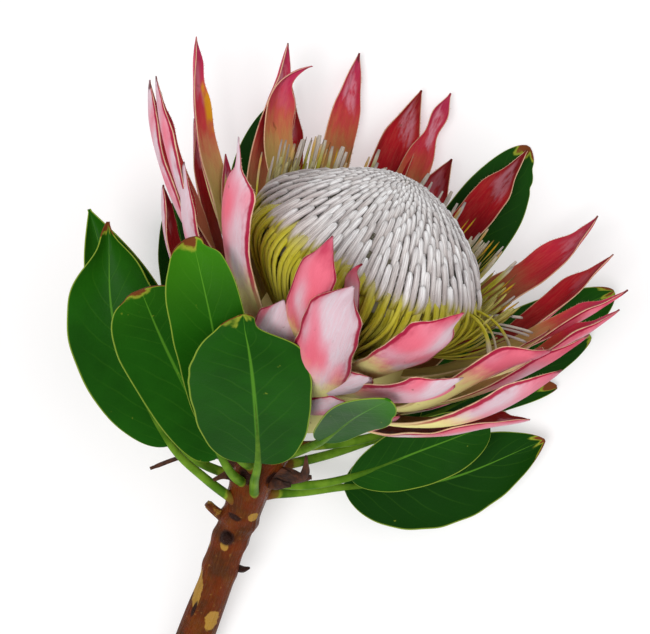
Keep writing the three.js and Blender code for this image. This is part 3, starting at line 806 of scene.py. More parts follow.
def bract_material(shades):
    """Outer face: salmon and rose above a cream foot, clouded with silver down whose whiter part on one side
    of each bract is a painted sheen, and a red line inside a thin cream rim. Inner face: tan to scarlet or
    dark to crimson by its redness, with cloudy patches of painted shadow in dark crimson on the red ones, a
    silver patch under the dark tip, and one with an orange streak along its margin."""
    t = Finish("bract faces", IOR=1.14, Sheen_Weight=0.01, Sheen_Roughness=0.35)
    along, across, inner, red, silver, cream, stripe = t.values(*BRACT_VALUES)
    cloud = t.noise(1.0, 1.0, 0.4, t.stretch(t.grain(), 0.1, 0.035, 1.0))
    small_cloud = t.noise(1.0, 3.0, 0.55, t.stretch(t.grain(), 0.5, 0.16, 1.0))
    uneven = small_cloud - 0.5
    fibres = t.streaks(1.1, 0.4, 0.66)
    worn_along = along + 0.16 * uneven
    worn_edge = abs(across) + 0.09 * uneven

    # Outer face
    base = t.ramp(
        worn_along,
        (0.0, shades.salmon),
        (0.35, shades.salmon),
        (0.55, shades.rose),
        (0.85, shades.rose),
        (1.0, shades.rose_deep),
    )
    middle = worn_edge.fade(0.1, 0.55) * along.fade(0.5, 0.85)
    # Painted sheen together with the silver down: whiter and wider on one side of each bract and towards its
    # tip
    down_and_sheen = cloud - 0.1 * across + 0.34 * (silver - 0.5) + 0.16 * (along - 0.55)
    silvery = t.mix(down_and_sheen.step(0.5, 0.75), shades.silver_pink, shades.silver_down_and_sheen)
    blush = worn_edge.step(0.55, 0.95) * small_cloud.step(0.35, 0.75)
    line = t.band(worn_edge, 0.925, 0.1) * along.step(0.12, 0.5)
    outer = t.coats(
        base,
        (middle * stripe, shades.salmon_red),
        (down_and_sheen.step(0.4, 0.7) * (0.74 + 0.14 * fibres), silvery),
        (0.65 * blush, shades.rose_deep),
        (0.08 * t.streaks(3.2, 0.35, 0.7), shades.rose_deep),
        (worn_along.fade(cream, cream + 0.22), shades.cream),
        (0.95 * line, shades.margin_red),
    )

    # Inner face
    warm = t.ramp(
        worn_along,
        (0.0, shades.olive_foot),
        (0.3, shades.tan),
        (0.52, shades.peach),
        (0.7, shades.scarlet),
        (1.0, shades.magenta),
    )
    dark = t.ramp(
        worn_along,
        (0.0, shades.brown_foot),
        (0.3, shades.crimson_dark),
        (0.58, shades.crimson),
        (0.78, shades.red),
        (1.0, shades.crimson_dark),
    )
    pale = worn_along.fade(cream, 0.3 + 1.1 * cream) * cream.step(0.2, 0.5)
    streak = t.band(worn_along, 0.76, 0.1) * (across * stripe).step(0.45, 0.75)
    patch = t.band(worn_along + 0.05 * across, 0.87, 0.08) * worn_edge.fade(0.4, 0.8)
    inside = t.coats(
        warm,
        (pale, shades.cream_inside),
        (red, dark),
        (0.1 * fibres, shades.peach),
        (streak * stripe.step(0.9, 1.0), shades.orange),
        # Painted shadow: cloudy patches of dark crimson on the red inner faces
        (0.5 * red * cloud.step(0.45, 0.7), shades.crimson_dark),
        (patch * small_cloud.step(0.3, 0.55) * silver, shades.silver_pink),
    )

    body = t.coats(
        outer,
        (inner, inside),
        (worn_edge.step(0.97, 0.995) * (0.9 - 0.5 * inner), shades.margin_cream),
        (0.5 * t.blotches(260.0, 0.7), shades.brown),
        (0.8 * worn_along.step(0.98, 1.01), shades.dark_tip),
    )
    roughness = 0.44 - 0.1 * inner + 0.16 * small_cloud
    return t.done(body, roughness, t.ridges(2.2) + 2.0 * small_cloud, 0.4, 0.0006)


def hair_material(shades):
    """Soft pale hairs that turn brown towards their ends."""
    t = Finish("margin hair", Sheen_Weight=0.3)
    (along,) = t.values("along")
    return t.done(t.mix(along, shades.margin_cream, shades.brown), 0.6)


def floret_material(name, shades, pale, roughness):
    """Florets: green tubes that turn into pale woolly ends by their whiteness, darker where their tone value
    is high, which is partly their own variation and partly painted shade, with streaks of painted shade along
    their fibres, a groove of painted shade along each and painted shade on their flanks, paler streaks on the
    green that also stand for painted highlights, golden pollen and dark points where their values say."""
    t = Finish(name, IOR=1.18, Sheen_Weight=0.04, Sheen_Roughness=0.5)
    across, white, gold, dark, tone = t.values(*FLORET_VALUES[1:])
    side = abs(across)
    fibres = t.streaks(1.15, 0.42, 0.6)
    # Green: olive where tone is high, partly own variation and partly painted shade; paler streaks along the
    # fibres that also serve as painted highlights
    green = t.coats(shades.green_light, (tone, shades.green_olive), (0.5 * fibres, shades.green_streak_and_highlight))
    # Wool: shaded wool where tone is high, partly own variation and partly painted shade; streaks of painted
    # shade along the fibres, a groove of painted shade along each floret, and painted shade on its flanks
    wool = t.coats(
        pale,
        (tone, shades.wool_shade),
        (0.42 * fibres, shades.mauve_shade),
        (0.3 * t.band(side, 0.36, 0.17), shades.mauve_shade),
        (0.6 * side.step(0.6, 1.0), shades.mauve_shade),
    )
    body = t.coats(
        green,
        (white, wool),
        (0.45 * t.blotches(620.0, 0.73), shades.brown),
        (gold, shades.pollen),
        (dark, shades.dark_tip),
    )
    return t.done(body, roughness, t.ridges(1.6), 0.7, 0.0007)


def leaf_material(shades):
    """A leathery leaf: green that is fresher by its yellowness and darkened with painted shade where that
    value is below 0, a pale midrib, faint side veins, a yellow-green margin, a paler under side, and yellow
    and brown where its value says."""
    t = Finish("leaf blade", IOR=1.12)
    along, across, under, brown, yellow, stalk = t.values(*LEAF_VALUES)
    edge = abs(across)
    rank = t.maths("FRACT", 9.0 * along + 0.5 * (t.noise(60.0, 2.0) - 0.5) - 2.4 * edge)
    vein = t.band(rank, 0.5, 0.07) * edge.fade(0.35, 0.95)
    rib = (edge / (0.07 - 0.06 * along)).fade(0.3, 1.0)
    bitten = brown + 0.7 * (t.noise(170.0, 4.0) - 0.5)
    green_stalk = t.mix(t.noise(120.0).step(0.35, 0.7), shades.stalk, shades.stalk_light)
    body = t.coats(
        shades.leaf_dark,
        (t.noise(38.0, 4.0).step(0.3, 0.7), shades.leaf),
        # Painted shade: deeper green for the leaves whose yellowness is below 0, which lie in shadow under
        # the head
        (-0.75 * yellow, shades.leaf_shadow),
        (yellow * along.step(0.5, 1.05), shades.leaf_fresh),
        (0.06 * vein, shades.vein),
        (0.6 * rib, shades.vein),
        (0.6 * under, shades.leaf_under),
        (0.7 * t.blotches(210.0, 0.72), shades.leaf_yellow),
        (0.8 * edge.step(0.97, 0.99), shades.leaf_edge),
        (bitten.step(0.42, 0.6), shades.leaf_yellow),
        (bitten.step(0.58, 0.7), shades.brown),
        (stalk, green_stalk),
    )
    gloss = 0.22 + 0.3 * t.noise(75.0, 5.0, 0.65)
    return t.done(body, gloss, t.noise(900.0, 3.0, 0.7) - 0.4 * vein, 0.22, 0.0004)


def bark_material(shades):
    """Red-brown bark with paler fibres along it, patches of weathering, bare wood, dark scars and buds, and
    painted shade in the neck where its values say, and growth rings on the cut end."""
    t = Finish("stem bark", IOR=1.2)
    patch, scar, cut, radial = t.values(*STEM_VALUES)
    fibres = t.streaks(0.8, 0.5, 0.66)
    ragged = patch + 0.9 * (t.noise(380.0, 4.0) - 0.5)
    wood = t.mix(t.noise(300.0), shades.wood, shades.bark_pale)
    rings = t.maths("SINE", 4.0 * t.noise(250.0) + 34.0 * radial)
    end = t.coats(
        shades.wood,
        (0.3 + 0.2 * rings, shades.bark_tan),
        (radial.step(0.82, 0.9), shades.bark_red),
        (radial.fade(0.06, 0.14), shades.bark_brown),
    )
    body = t.coats(
        shades.bark_red,
        (t.noise(130.0, 4.0, 0.6).step(0.35, 0.68), shades.bark_brown),
        (0.35 * t.blotches(95.0, 0.52, 0.16), shades.bark_tan),
        (0.4 * fibres, shades.bark_tan),
        (0.5 * t.streaks(2.4, 0.52, 0.72), shades.bark_dark),
        (0.3 * t.blotches(420.0, 0.66), shades.bark_pale),
        (ragged.step(0.38, 0.55), wood),
        # Dark scars and buds, and painted shade in the hollow of the neck
        (scar.step(0.25, 0.75), shades.dry_dark),
        (cut, end),
    )
    height = t.ridges(1.1) + 0.8 * t.noise(420.0, 4.0)
    return t.done(body, 0.26 + 0.25 * fibres, height, 0.8, 0.0009)


def dry_material(shades):
    """Withered scales: dark red-brown with tan fibres."""
    t = Finish("dry scale", IOR=1.4)
    body = t.coats(
        shades.dry_dark,
        (t.noise(240.0, 4.0).step(0.35, 0.7), shades.dry),
        (0.6 * t.streaks(2.0, 0.5, 0.7), shades.bark_tan),
    )
    return t.done(body, 0.5, t.ridges(2.4), 0.7, 0.0008)


def plain_material(name, shade, spread, roughness, glow=0.0):
    """A quiet surface whose shade wanders down to a share of itself, and which gives out a share of its light
    by itself."""
    t = Finish(name, IOR=1.3, Emission_Strength=glow, Emission_Color=shade)
    body = tuple(c * (1 - glow) for c in shade)
    return t.done(t.mix(t.noise(60.0), body, tuple(c * spread for c in body)), roughness)


# Surfaces


def smoothed(values, reach):
    """Values along a line, each averaged with its neighbours by a bell of that reach, ends kept."""
    offsets = np.arange(-3 * reach, 3 * reach + 1)
    weights = np.exp(-((offsets / reach) ** 2))
    padded = np.pad(values, 3 * reach, mode="edge")
    return np.convolve(padded, weights / weights.sum(), mode="valid")


def draws(state):
    """Even draws from 0 to 1: each state is the last one times 16807, modulo 2147483647."""
    while True:
        state = state * 16807 % 2147483647
        yield state / 2147483647


def hidden_rows():
    """Rows of bracts like those in BRACTS, spread evenly with a little scatter, the tips above the floor."""
    even = draws(HIDDEN_SEED)
    rows = []
    for foot, first, last, count, radius, height, lean_foot, lean_tip, width in HIDDEN_ROWS:
        for k in range(count):
            azimuth = first + (last - first) * k / (count - 1) + 6 * (next(even) - 0.5)
            reach = radius * (0.94 + 0.12 * next(even))
            drop = -outward(azimuth)[2]
            room = HEAD_HEIGHT + height * math.sin(TILT) - TABLE_CLEARANCE
            tip_radius = min(reach, room / drop) if drop > 0 else reach
            rows.append((azimuth, tip_radius, height, azimuth, foot, lean_foot, lean_tip, width, 45))
    return rows


def bract_line(row, look, s):
    """A bract's middle line at shares s of its length, with the directions across it and to its inner face: a
    cubic Bezier curve from the foot to the tip, whose end is drawn sideways by the hook."""
    tip_azimuth, tip_radius, tip_height, foot_azimuth, foot_height, lean_foot, lean_tip = row[:7]
    foot = around(foot_azimuth, radius_at(RECEPTACLE, foot_height) - BRACT_ROOT, foot_height)
    tip = around(tip_azimuth, tip_radius, tip_height)
    handle = 0.36 * np.linalg.norm(tip - foot)
    second = foot + handle * leaning(foot_azimuth, lean_foot)
    third = tip - handle * leaning(tip_azimuth, lean_tip)
    t = s[:, None]
    r = 1 - t
    middle = r**3 * foot + 3 * r * r * t * second + 3 * r * t * t * third + t**3 * tip
    along = unit(r * r * (second - foot) + 2 * r * t * (third - second) + t * t * (tip - third))
    out = middle - HEAD
    out = unit(out - (out @ AXIS)[:, None] * AXIS)
    across = np.cross(out, AXIS)
    across = unit(across - np.sum(across * along, 1, keepdims=True) * along)
    inward = np.cross(across, along)
    hook = (np.clip((s - 0.86) / 0.14, 0, 1) ** 2 - ease(0.3, 0.9, s))[:, None]
    return middle + hook * (look[2] * across + look[3] * inward), across, inward


def bract_surface(row, look, seed, s, q):
    """A bract's middle surface at shares s along it and q from -1 to 1 across it, with its normals and
    half-widths. Each cross-section is an arc that opens towards the axis: across by the sine of the turn and
    inwards by one minus its cosine, over the bend. Waves grow towards the margins."""
    waist, pinch = look[:2]
    width, fold = row[7:]
    middle, across, inward = bract_line(row, look, s)
    taper = np.minimum(1, (np.clip(1 - s, 0, 1) / BLUNT_PART) ** 0.85) * np.minimum(1, 0.55 + s)
    taper = taper * (1 - waist * bell(0.84, 0.06, s) + waist * bell(0.93, 0.04, s))
    taper = taper * (1 - pinch * ease(0.83, 0.91, s))
    half = np.maximum(width / 2 * smoothed(taper, 1), 0.4)
    column = s[:, None]
    edge = np.abs(q)
    side = np.sign(q)
    half = half[:, None] * (1 + 0.035 * ripple(seed, 16 * column, 3.0 * side) * edge)
    bend = math.radians(fold) * (0.5 + 0.5 * column) + 0.35 * ease(0.7, 1, column)
    turn = bend * q
    wave = 0.75 * ripple(seed + 50, 13 * column, 2.5 * side) * edge**4 * ease(0.1, 0.4, column)
    keel = -0.4 * bell(0, 0.16, q) * ease(0.05, 0.4, column)
    cockle = 0.22 * ripple(seed + 90, 9 * column, 4 * q)
    rise = half * (1 - np.cos(turn)) / bend + (wave + keel + cockle) * np.clip(half / 5, 0.15, 1)
    across, inward = across[:, None], inward[:, None]
    surface = middle[:, None] + across * (half * np.sin(turn) / bend)[..., None] + inward * rise[..., None]
    normal = inward * np.cos(turn)[..., None] - across * np.sin(turn)[..., None]
    return surface, normal, half


def add_bract(skin, row, look, seed, grid):
    """One bract as a thick blade, thinner towards its margins and its tip."""
    rows, cells = grid
    s = np.linspace(0, 1, rows)
    q = margin_steps(cells)[None, :]
    surface, normal, half = bract_surface(row, look, seed, s, q)
    column = s[:, None]
    thick = np.interp(column, (0, 1), BRACT_THICKNESS) * (1 - 0.6 * np.abs(q) ** 2.5)
    thick = thick * np.clip((1.02 - column) / 0.05, 0.4, 1)
    length = path_along(surface[:, cells // 2])[-1]
    skin.add(
        blade_rings(surface, normal, thick),
        grain=grain_of(both_faces(half * q), column * length, 7.3 * seed),
        along=column,
        across=both_faces(q),
        inner=both_faces(np.ones_like(q), np.zeros_like(q)),
        **dict(zip(BRACT_VALUES[3:], look[4:])),
    )


def add_turned(skin, profile, grid, depth=0.0, **values):
    """A solid of revolution round the head's axis from (height, radius) points, made smaller by a depth."""
    rows, sides = grid
    heights, radii = zip(*sorted(profile))
    knots = np.linspace(0, 1, len(heights))
    steps = np.linspace(0, 1, rows)[:, None]
    radius = np.maximum(np.interp(steps, knots, radii) - depth, 0.2)
    azimuth = -360 * np.arange(sides)[None, :] / sides
    skin.add(around(azimuth, radius, np.interp(steps, knots, heights)), **values)


class Outline:
    """The head's outline by the distance from the top of the dome, down over the shoulder and the tubes: a
    smooth curve through DOME and TUBES, read with the direction that is square to it."""

    def __init__(self):
        curve = catmull([(h, r, 0) for h, r in DOME + TUBES], np.linspace(0, 1, 600))[:, :2]
        steps = unit(np.gradient(curve, axis=0))
        self.distance = path_along(curve)
        self.columns = (*curve.T, steps[:, 1], -steps[:, 0])

    def read(self, u):
        """Height and radius at a distance u, and the height and radius of the outward direction there."""
        return [np.interp(u, self.distance, column) for column in self.columns]

    def place(self, azimuth, u, lift):
        """The point at an azimuth and a distance u that stands off by a lift, and the outward direction."""
        height, radius, normal_h, normal_r = self.read(u)
        up = outward(azimuth) * normal_r[..., None] + AXIS * normal_h[..., None]
        return around(azimuth, radius + lift * normal_r, height + lift * normal_h), up


def rounded(wave):
    """A sine or cosine with its flat parts drawn out, which turns a circle into a rounded oblong."""
    return np.sign(wave) * np.abs(wave) ** 0.75


# The rounded oblong of the flat bars, across them and through them
BAR_ANGLES = 2 * math.pi * np.arange(8) / 8
BAR_ACROSS = rounded(np.cos(BAR_ANGLES))
BAR_DEEP = rounded(np.sin(BAR_ANGLES))


def add_bars(skin, line, up, half_width, half_depth, seeds, **values):
    """Flat bars along lines shaped (copies, points, 3): each ring is a rounded oblong that faces along up."""
    along = unit(np.gradient(line, axis=-2))
    across = unit(np.cross(up, along))
    rise = np.cross(along, across)
    distance = half_width[..., None] * BAR_ACROSS
    deep = half_depth[..., None] * BAR_DEEP
    wide = across[..., None, :] * distance[..., None]
    rings = line[..., None, :] + wide + rise[..., None, :] * deep[..., None]
    grain = grain_of(distance, path_along(line)[..., None], seeds[:, None, None])
    skin.add(rings, grain=grain, across=BAR_ACROSS, **values)


def white_end(azimuth):
    """The distance from the dome's top at which the florets turn green, read off WHITE_ENDS."""
    places, ends = zip(*WHITE_ENDS)
    return np.interp((np.asarray(azimuth) + 180) % 360 - 180, places, ends)


def left_bulge(azimuth, u):
    """How far the florets stand out at the left of the head, where their knees spread apart."""
    away = (np.asarray(azimuth) + 95 + 180) % 360 - 180
    return 3.4 * bell(0, 42, away) * ease(26, 50, u) * (1 - ease(54, 76, u))


def dome_skin(count):
    """The dome's fingers: tips in a spiral of golden-angle steps, closer together towards the top, each
    finger sunk under its outer neighbours at its low end and raised at the tip that points to the top. The
    outer ones run down to where the florets turn green, and broaden on the way."""
    skin = Skin(*FLORET_VALUES)
    outline = Outline()
    random = np.random.default_rng(DOME_SEED)
    order = np.arange(count)
    share = (order + 0.5) / count
    spread = np.sqrt((DENSITY_RATIO**share - 1) / (DENSITY_RATIO - 1))
    turn = order * GOLDEN_ANGLE
    end = white_end(turn)
    tip_u = (end - 8.5) * spread + 0.5 * random.normal(size=count) * spread
    area = TOP_CELL * (1 + (DENSITY_RATIO - 1) * spread**2)
    width = (1.3 + 1.75 * spread**1.1) * random.uniform(0.86, 1.14, count)
    low_u = tip_u + 1.7 * area / width + 1.2 + 2 * spread
    outer = low_u > end - 5
    low_u = np.where(outer, end + random.uniform(0.5, 4.5, count), low_u)

    # From here each finger is a row, and v runs from its low end to its tip
    v = np.linspace(0, 1, 12)
    bow = np.sin(math.pi * v)
    turn, end, width, outer, spread, tip_u, low_u = (
        part[:, None] for part in (turn, end, width, outer, spread, tip_u, low_u)
    )
    u = low_u + (tip_u - low_u) * v
    radius = outline.read(u)[1]
    loose = spread * random.uniform(0, 1, (count, 1))
    lift = -1.9 + 1.9 * v**0.8 + loose * (1.2 * bow + 0.9 * v) + 0.8 * ease(-8, 0, u - end)
    jitter = random.normal(size=(3, count, 1)) * 0.4
    swing = (jitter[0] + jitter[1] * v + 0.6 * jitter[2] * bow) * spread
    azimuth = turn + np.degrees(swing / np.maximum(radius, 4))
    line, up = outline.place(azimuth, u, lift + left_bulge(azimuth, u))
    up = up + 0.22 * random.normal(size=(count, 1, 3)) * spread[..., None]
    blunt = np.sqrt(1 - 0.7 * np.clip((v - 0.95) / 0.05, 0, 1) ** 2)
    half_width = width / 2 * (0.86 + 0.26 * (0.6 - v) * outer + 0.1 * bow) * blunt
    half_depth = (0.5 + 0.3 * spread) * (0.8 + 0.35 * v) * blunt
    # Painted shade: the fingers are darker on the left side of the dome, and at their low ends, where they
    # come out from under their outer neighbours; the random part is their own variation
    shaded = 0.6 * bell(0, 60, (azimuth + 275) % 360 - 180) * ease(20, 46, u)
    tone = np.clip(0.2 * random.normal(size=(count, 1)) + 1.4 * (1 - v) ** 1.2 + shaded, 0, 1)
    ragged = 0.9 * random.normal(size=(count, 1, 1)) + 2.4 * np.abs(BAR_ACROSS)
    white = 1 - ease(-2.2, 1.8, (u - end)[..., None] + ragged)
    values = columns({"along": v, "tone": tone})
    add_bars(skin, line, up, half_width, half_depth, 3.1 * order, white=white, **values)
    return skin


def add_hairs(skin, root, way, steps, radii, up, **values):
    """Three-sided cones, each from its root over its way, with rings of those radii at those steps."""
    line = root[:, None] + way[:, None] * steps[:, None]
    skin.add(rod_rings(line, radii, 3, up=up[:, None]), along=steps[:, None], **values)


def dome_wool(count):
    """Short hairs on the dome, which lie nearly flat and point to the top."""
    skin = Skin(*FLORET_VALUES)
    outline = Outline()
    random = np.random.default_rng(WOOL_SEED)
    azimuth = random.uniform(0, 360, count)
    u = (white_end(azimuth) - 1) * np.sqrt(random.uniform(0.001, 1, count))
    root, up = outline.place(azimuth, u, 0.1 + left_bulge(azimuth, u))
    under, _ = outline.place(azimuth, u, 0.0)
    to_top = unit(np.cross(up, np.cross(up, under - HEAD - 60 * AXIS)))
    sway = 0.5 * random.normal(size=(count, 1)) * np.cross(up, to_top)
    way = unit(to_top + sway + random.uniform(0.25, 0.8, (count, 1)) * up)
    way = way * random.uniform(0.6, 1.4, (count, 1))
    v = np.array([0, 0.6, 1.0])
    add_hairs(skin, root, way, v, WOOL_RADIUS * (1 - 0.85 * v), up + 0.01, white=1.0, tone=0.15)
    return skin


def tubes_skin(count):
    """The green tubes under the dome: three layers of bars that follow the outline down from where the white
    ends, bowed out unevenly, and loose ones that lean across them."""
    skin = Skin(*FLORET_VALUES)
    outline = Outline()
    random = np.random.default_rng(TUBES_SEED)
    order = np.arange(count)
    layer = (order % 3)[:, None]
    loose = random.uniform(size=(count, 1)) < 0.14
    turn = (360 * order / count * 7)[:, None] + 2 * random.normal(size=(count, 1))
    start = white_end(turn) - 5 - 4 * random.uniform(size=(count, 1))
    v = np.linspace(0, 1, 16)
    bow = np.sin(math.pi * v)
    u = start + (outline.distance[-1] - 1.0 - start) * v
    lift = -1.2 * layer + random.uniform(0.0, 1.6, (count, 1)) * bow**0.8 + 1.3 * loose * bow
    lift = lift - 0.7 - 1.2 * (1 - ease(0, 0.1, v)) + left_bulge(turn, u)
    lean = random.normal(size=(count, 1)) * (1.4 + 6 * loose) * (v - 0.4)
    azimuth = turn + lean + 0.6 * np.sin(6 * v + random.uniform(0, 6, (count, 1)))
    line, up = outline.place(azimuth, u, lift)
    half_width = random.uniform(1.6, 2.9, (count, 1)) / 2 * (1 - 0.4 * v) * (1 - 0.35 * loose)
    # Painted shade: the tubes are darker in the deeper layers, under the top one, and towards their low ends;
    # the random part is their own variation
    tone = np.clip(0.22 * layer + 0.55 * ease(0.3, 1.0, v) + 0.15 * random.normal(size=(count, 1)), 0, 1)
    white = 0.45 * (1 - ease(0.02, 0.2, v + 0.03 * random.normal(size=(count, 1))))
    values = {"along": v, "white": white, "tone": tone}
    add_bars(skin, line, up, half_width, 0.6 * (1 - 0.3 * v), 5.7 * order, **columns(values))
    return skin


def floret_lines(rows, seed, root_height=-45, bulge=5.0, rise=-4.0):
    """Lines from the tubes out to the ends given in rows: quadratic curves with their knees pushed out by
    the bulge and along the head's axis by the rise. Also gives the steps along them and a random source."""
    random = np.random.default_rng(seed)
    azimuth, radius, height, width = (np.array(column, float) for column in zip(*rows))
    count = len(rows)
    turn = azimuth + 3 * random.normal(size=count)
    root_radius = radius_at([DOME[-1], *TUBES], root_height) - 2.5 * random.uniform(size=count)
    root = around(turn, root_radius, np.full(count, root_height))[:, None]
    knee = around((turn + azimuth) / 2, (root_radius + radius) / 2 + bulge, (root_height + height) / 2 + rise)
    tip = around(azimuth, radius, height)[:, None]
    v = np.linspace(0, 1, 20)
    t = v[:, None]
    line = root * (1 - t) ** 2 + 2 * knee[:, None] * t * (1 - t) + tip * t * t
    swing = 0.7 * ripple(seed + 1, 3 * v[None, :], np.arange(count)[:, None]) * np.sin(math.pi * v)
    aside = unit(np.cross(outward(azimuth), AXIS))[:, None]
    return line + swing[..., None] * aside, azimuth, width[:, None], v, random


def add_straps(skin, rows, seed, white_from=0.72, gold=0.0, white=1.0, **course):
    """Open florets as flat straps: green below, beige or golden towards their square-cut ends."""
    line, azimuth, width, v, random = floret_lines(rows, seed, **course)
    count = len(rows)
    up = unit(outward(azimuth)[:, None] + 0.5 * random.normal(size=(count, 1, 3)))
    half_width = width / 2 * (0.7 + 0.3 * ease(0.5, 0.85, v)) * (1 - 0.3 * ease(0.98, 1.0, v))
    start = white_from + 0.05 * random.normal(size=(count, 1))
    values = {
        "along": v,
        "white": white * ease(start, start + 0.2, v),
        "tone": np.clip(0.3 + 0.25 * random.normal(size=(count, 1)) + 0.3 * (1 - v), 0, 1),
        "dark": 0.5 * ease(0.985, 1.0, v) * (random.uniform(size=(count, 1)) < 0.4),
        "gold": gold * ease(0.8, 0.9, v) * (1 - 0.6 * ease(0.96, 1, v)),
    }
    half_depth = 0.38 * (1 - 0.5 * ease(0.98, 1.0, v))
    seeds = 9.1 * np.arange(count) + seed
    add_bars(skin, line, np.broadcast_to(up, line.shape), half_width, half_depth, seeds, **columns(values))


def add_styles(skin, rows, seed, gold):
    """Slim styles: a thread that swells into a golden pollen end, or stays dark, with a dark point."""
    line, _, width, v, random = floret_lines(rows, seed)
    swollen = bell(0.91, 0.055, v)
    radius = width / 2 * (0.55 + 0.45 * swollen) * (1 - 0.4 * ease(0.97, 1, v))
    dark = 0.75 * ease(0.97, 0.99, v) + 0.5 * bell(0.8, 0.03, v) + 0.8 * (1 - gold) * ease(0.6, 0.8, v)
    values = {
        "along": v,
        "gold": gold * np.clip(1.5 * swollen, 0, 1),
        "dark": np.clip(dark, 0, 1),
        "tone": random.uniform(0, 0.8, (len(rows), 1)),
    }
    skin.add(rod_rings(line, radius, 6), white=0.1, **columns(values))


def add_open_florets(skin, share):
    """All open florets: those that the photo shows, and a share of the shorter ones between them, whose ends
    are spread at random over stretches of the head's rim."""
    add_straps(skin, STRAPS, STRAP_SEED)
    add_straps(skin, GOLDEN_STRAPS, STRAP_SEED + 2, gold=0.75)
    add_styles(skin, POLLEN_STYLES, STRAP_SEED + 4, gold=1.0)
    add_styles(skin, DARK_STYLES, STRAP_SEED + 6, gold=0.0)
    leaning = {"root_height": -32, "bulge": -1.0, "rise": 3.5}
    add_straps(skin, LEANING_STRAPS, STRAP_SEED + 8, white_from=0.35, **leaning)
    curled = {"root_height": -21, "bulge": 2.0, "rise": 7.0}
    add_straps(skin, CURLED_STRAPS, STRAP_SEED + 10, white_from=0.5, white=0.75, **curled)
    random = np.random.default_rng(FILL_SEED)

    def spread(count, low, high):
        ranges = ((first, last), (near, far), (low, high), (0.7, 1.5))
        return list(zip(*(random.uniform(*limits, count) for limits in ranges)))

    for k, (first, last, count, low, high, near, far, white) in enumerate(FLORET_FILL):
        some = max(1, round(count * share))
        add_straps(skin, spread(some, low, high), SHORT_STRAP_SEED + k, white=white)
        styles = spread(max(1, some // 3), low + 1, high + 2)
        add_styles(skin, [(*row[:3], THIN_STYLE) for row in styles], SHORT_STYLE_SEED + k, gold=0.25)


def stem_skin():
    """The stem: rings round a smooth line, their radius uneven along the fibres, swollen at the nodes, and
    held up at the floor. The cut end is a flat disc of wood."""
    skin = Skin(*STEM_VALUES)
    rows, sides = STEM_GRID
    t = np.linspace(0, 1, rows)
    line = catmull([p[:3] for p in STEM], t)
    radius = smoothed(np.interp(t, np.linspace(0, 1, len(STEM)), [p[3] for p in STEM]), 6)[:, None]
    angle = (2 * math.pi * (np.arange(sides) + 0.5) / sides)[None, :]
    length = path_along(line)[-1]
    path = t[:, None] * length
    fibres = ripple(3, 9 * np.cos(angle), 9 * np.sin(angle), path * 0.09)
    lumps = ripple(5, 2 * np.cos(angle), 2 * np.sin(angle), path * 0.12)
    swollen = sum(size * bell(place, 0.02, t) for place, size in STEM_NODES)
    top_angle = np.degrees((angle - math.pi / 2) % (2 * math.pi) - math.pi)
    patch, scar, dip = np.zeros((3, rows, sides))
    for share, side, half_length, half_breadth, pale in BARK_PATCHES:
        away = (top_angle - side + 180) % 360 - 180
        x = np.radians(away) * radius / half_breadth
        y = (path - share * length) / half_length
        mask = np.exp(-((x * x + y * y) ** 1.5))
        patch = np.maximum(patch, mask * pale)
        # Rows with no paleness: dark scars, and painted shade in the neck
        scar = np.maximum(scar, mask * (pale == 0))
        dip = np.maximum(dip, mask)
    uneven_radius = radius + 0.22 * fibres + 0.3 * lumps + swollen[:, None] - 0.35 * dip
    rings = swelled(rod_rings(line, 1.0, sides), line, uneven_radius)
    shares = np.array([0.02, 0.35, 0.7, 0.97])[:, None, None]
    disc = line[0] + (rings[0] - line[0]) * shares
    rings = np.concatenate([disc, rings])
    rings[..., 2] = np.maximum(rings[..., 2], 0.05)
    grow = [(len(shares), 0), (0, 0)]
    skin.add(
        rings,
        grain=grain_of(angle * BARK_RADIUS, np.pad(path, grow), 0.0),
        patch=np.pad(patch, grow),
        scar=np.pad(scar, grow),
        cut=(np.arange(len(rings)) <= len(shares))[:, None],
        radial=np.concatenate([shares[:, 0], np.ones((rows, 1))]),
    )
    return skin


def add_growth(skin, growth, seed, **values):
    """A bud, stub or dry scale: rings along a smooth line, uneven, from its root radius to its end's."""
    points, root, end, flatness = growth
    rows, sides = GROWTH_GRID
    t = np.linspace(0, 1, rows)
    line = catmull(points, t)
    radius = root + (end - root) * ease(0, 1, t) + 0.12 * ripple(seed, 9 * t)
    radius = np.maximum(radius * np.where(t > 0.93, 0.8, 1), 0.25)
    number = np.arange(sides)[None, :]
    uneven = 1 + 0.1 * ripple(seed + 1, np.cos(number) * 2, t[:, None] * 7)
    rings = swelled(rod_rings(line, radius, sides, flatness), line, uneven)
    rings[..., 2] = np.maximum(rings[..., 2], 0.1)
    skin.add(rings, grain=grain_of(number * 0.9, t[:, None] * 20, seed * 3.0), **values)


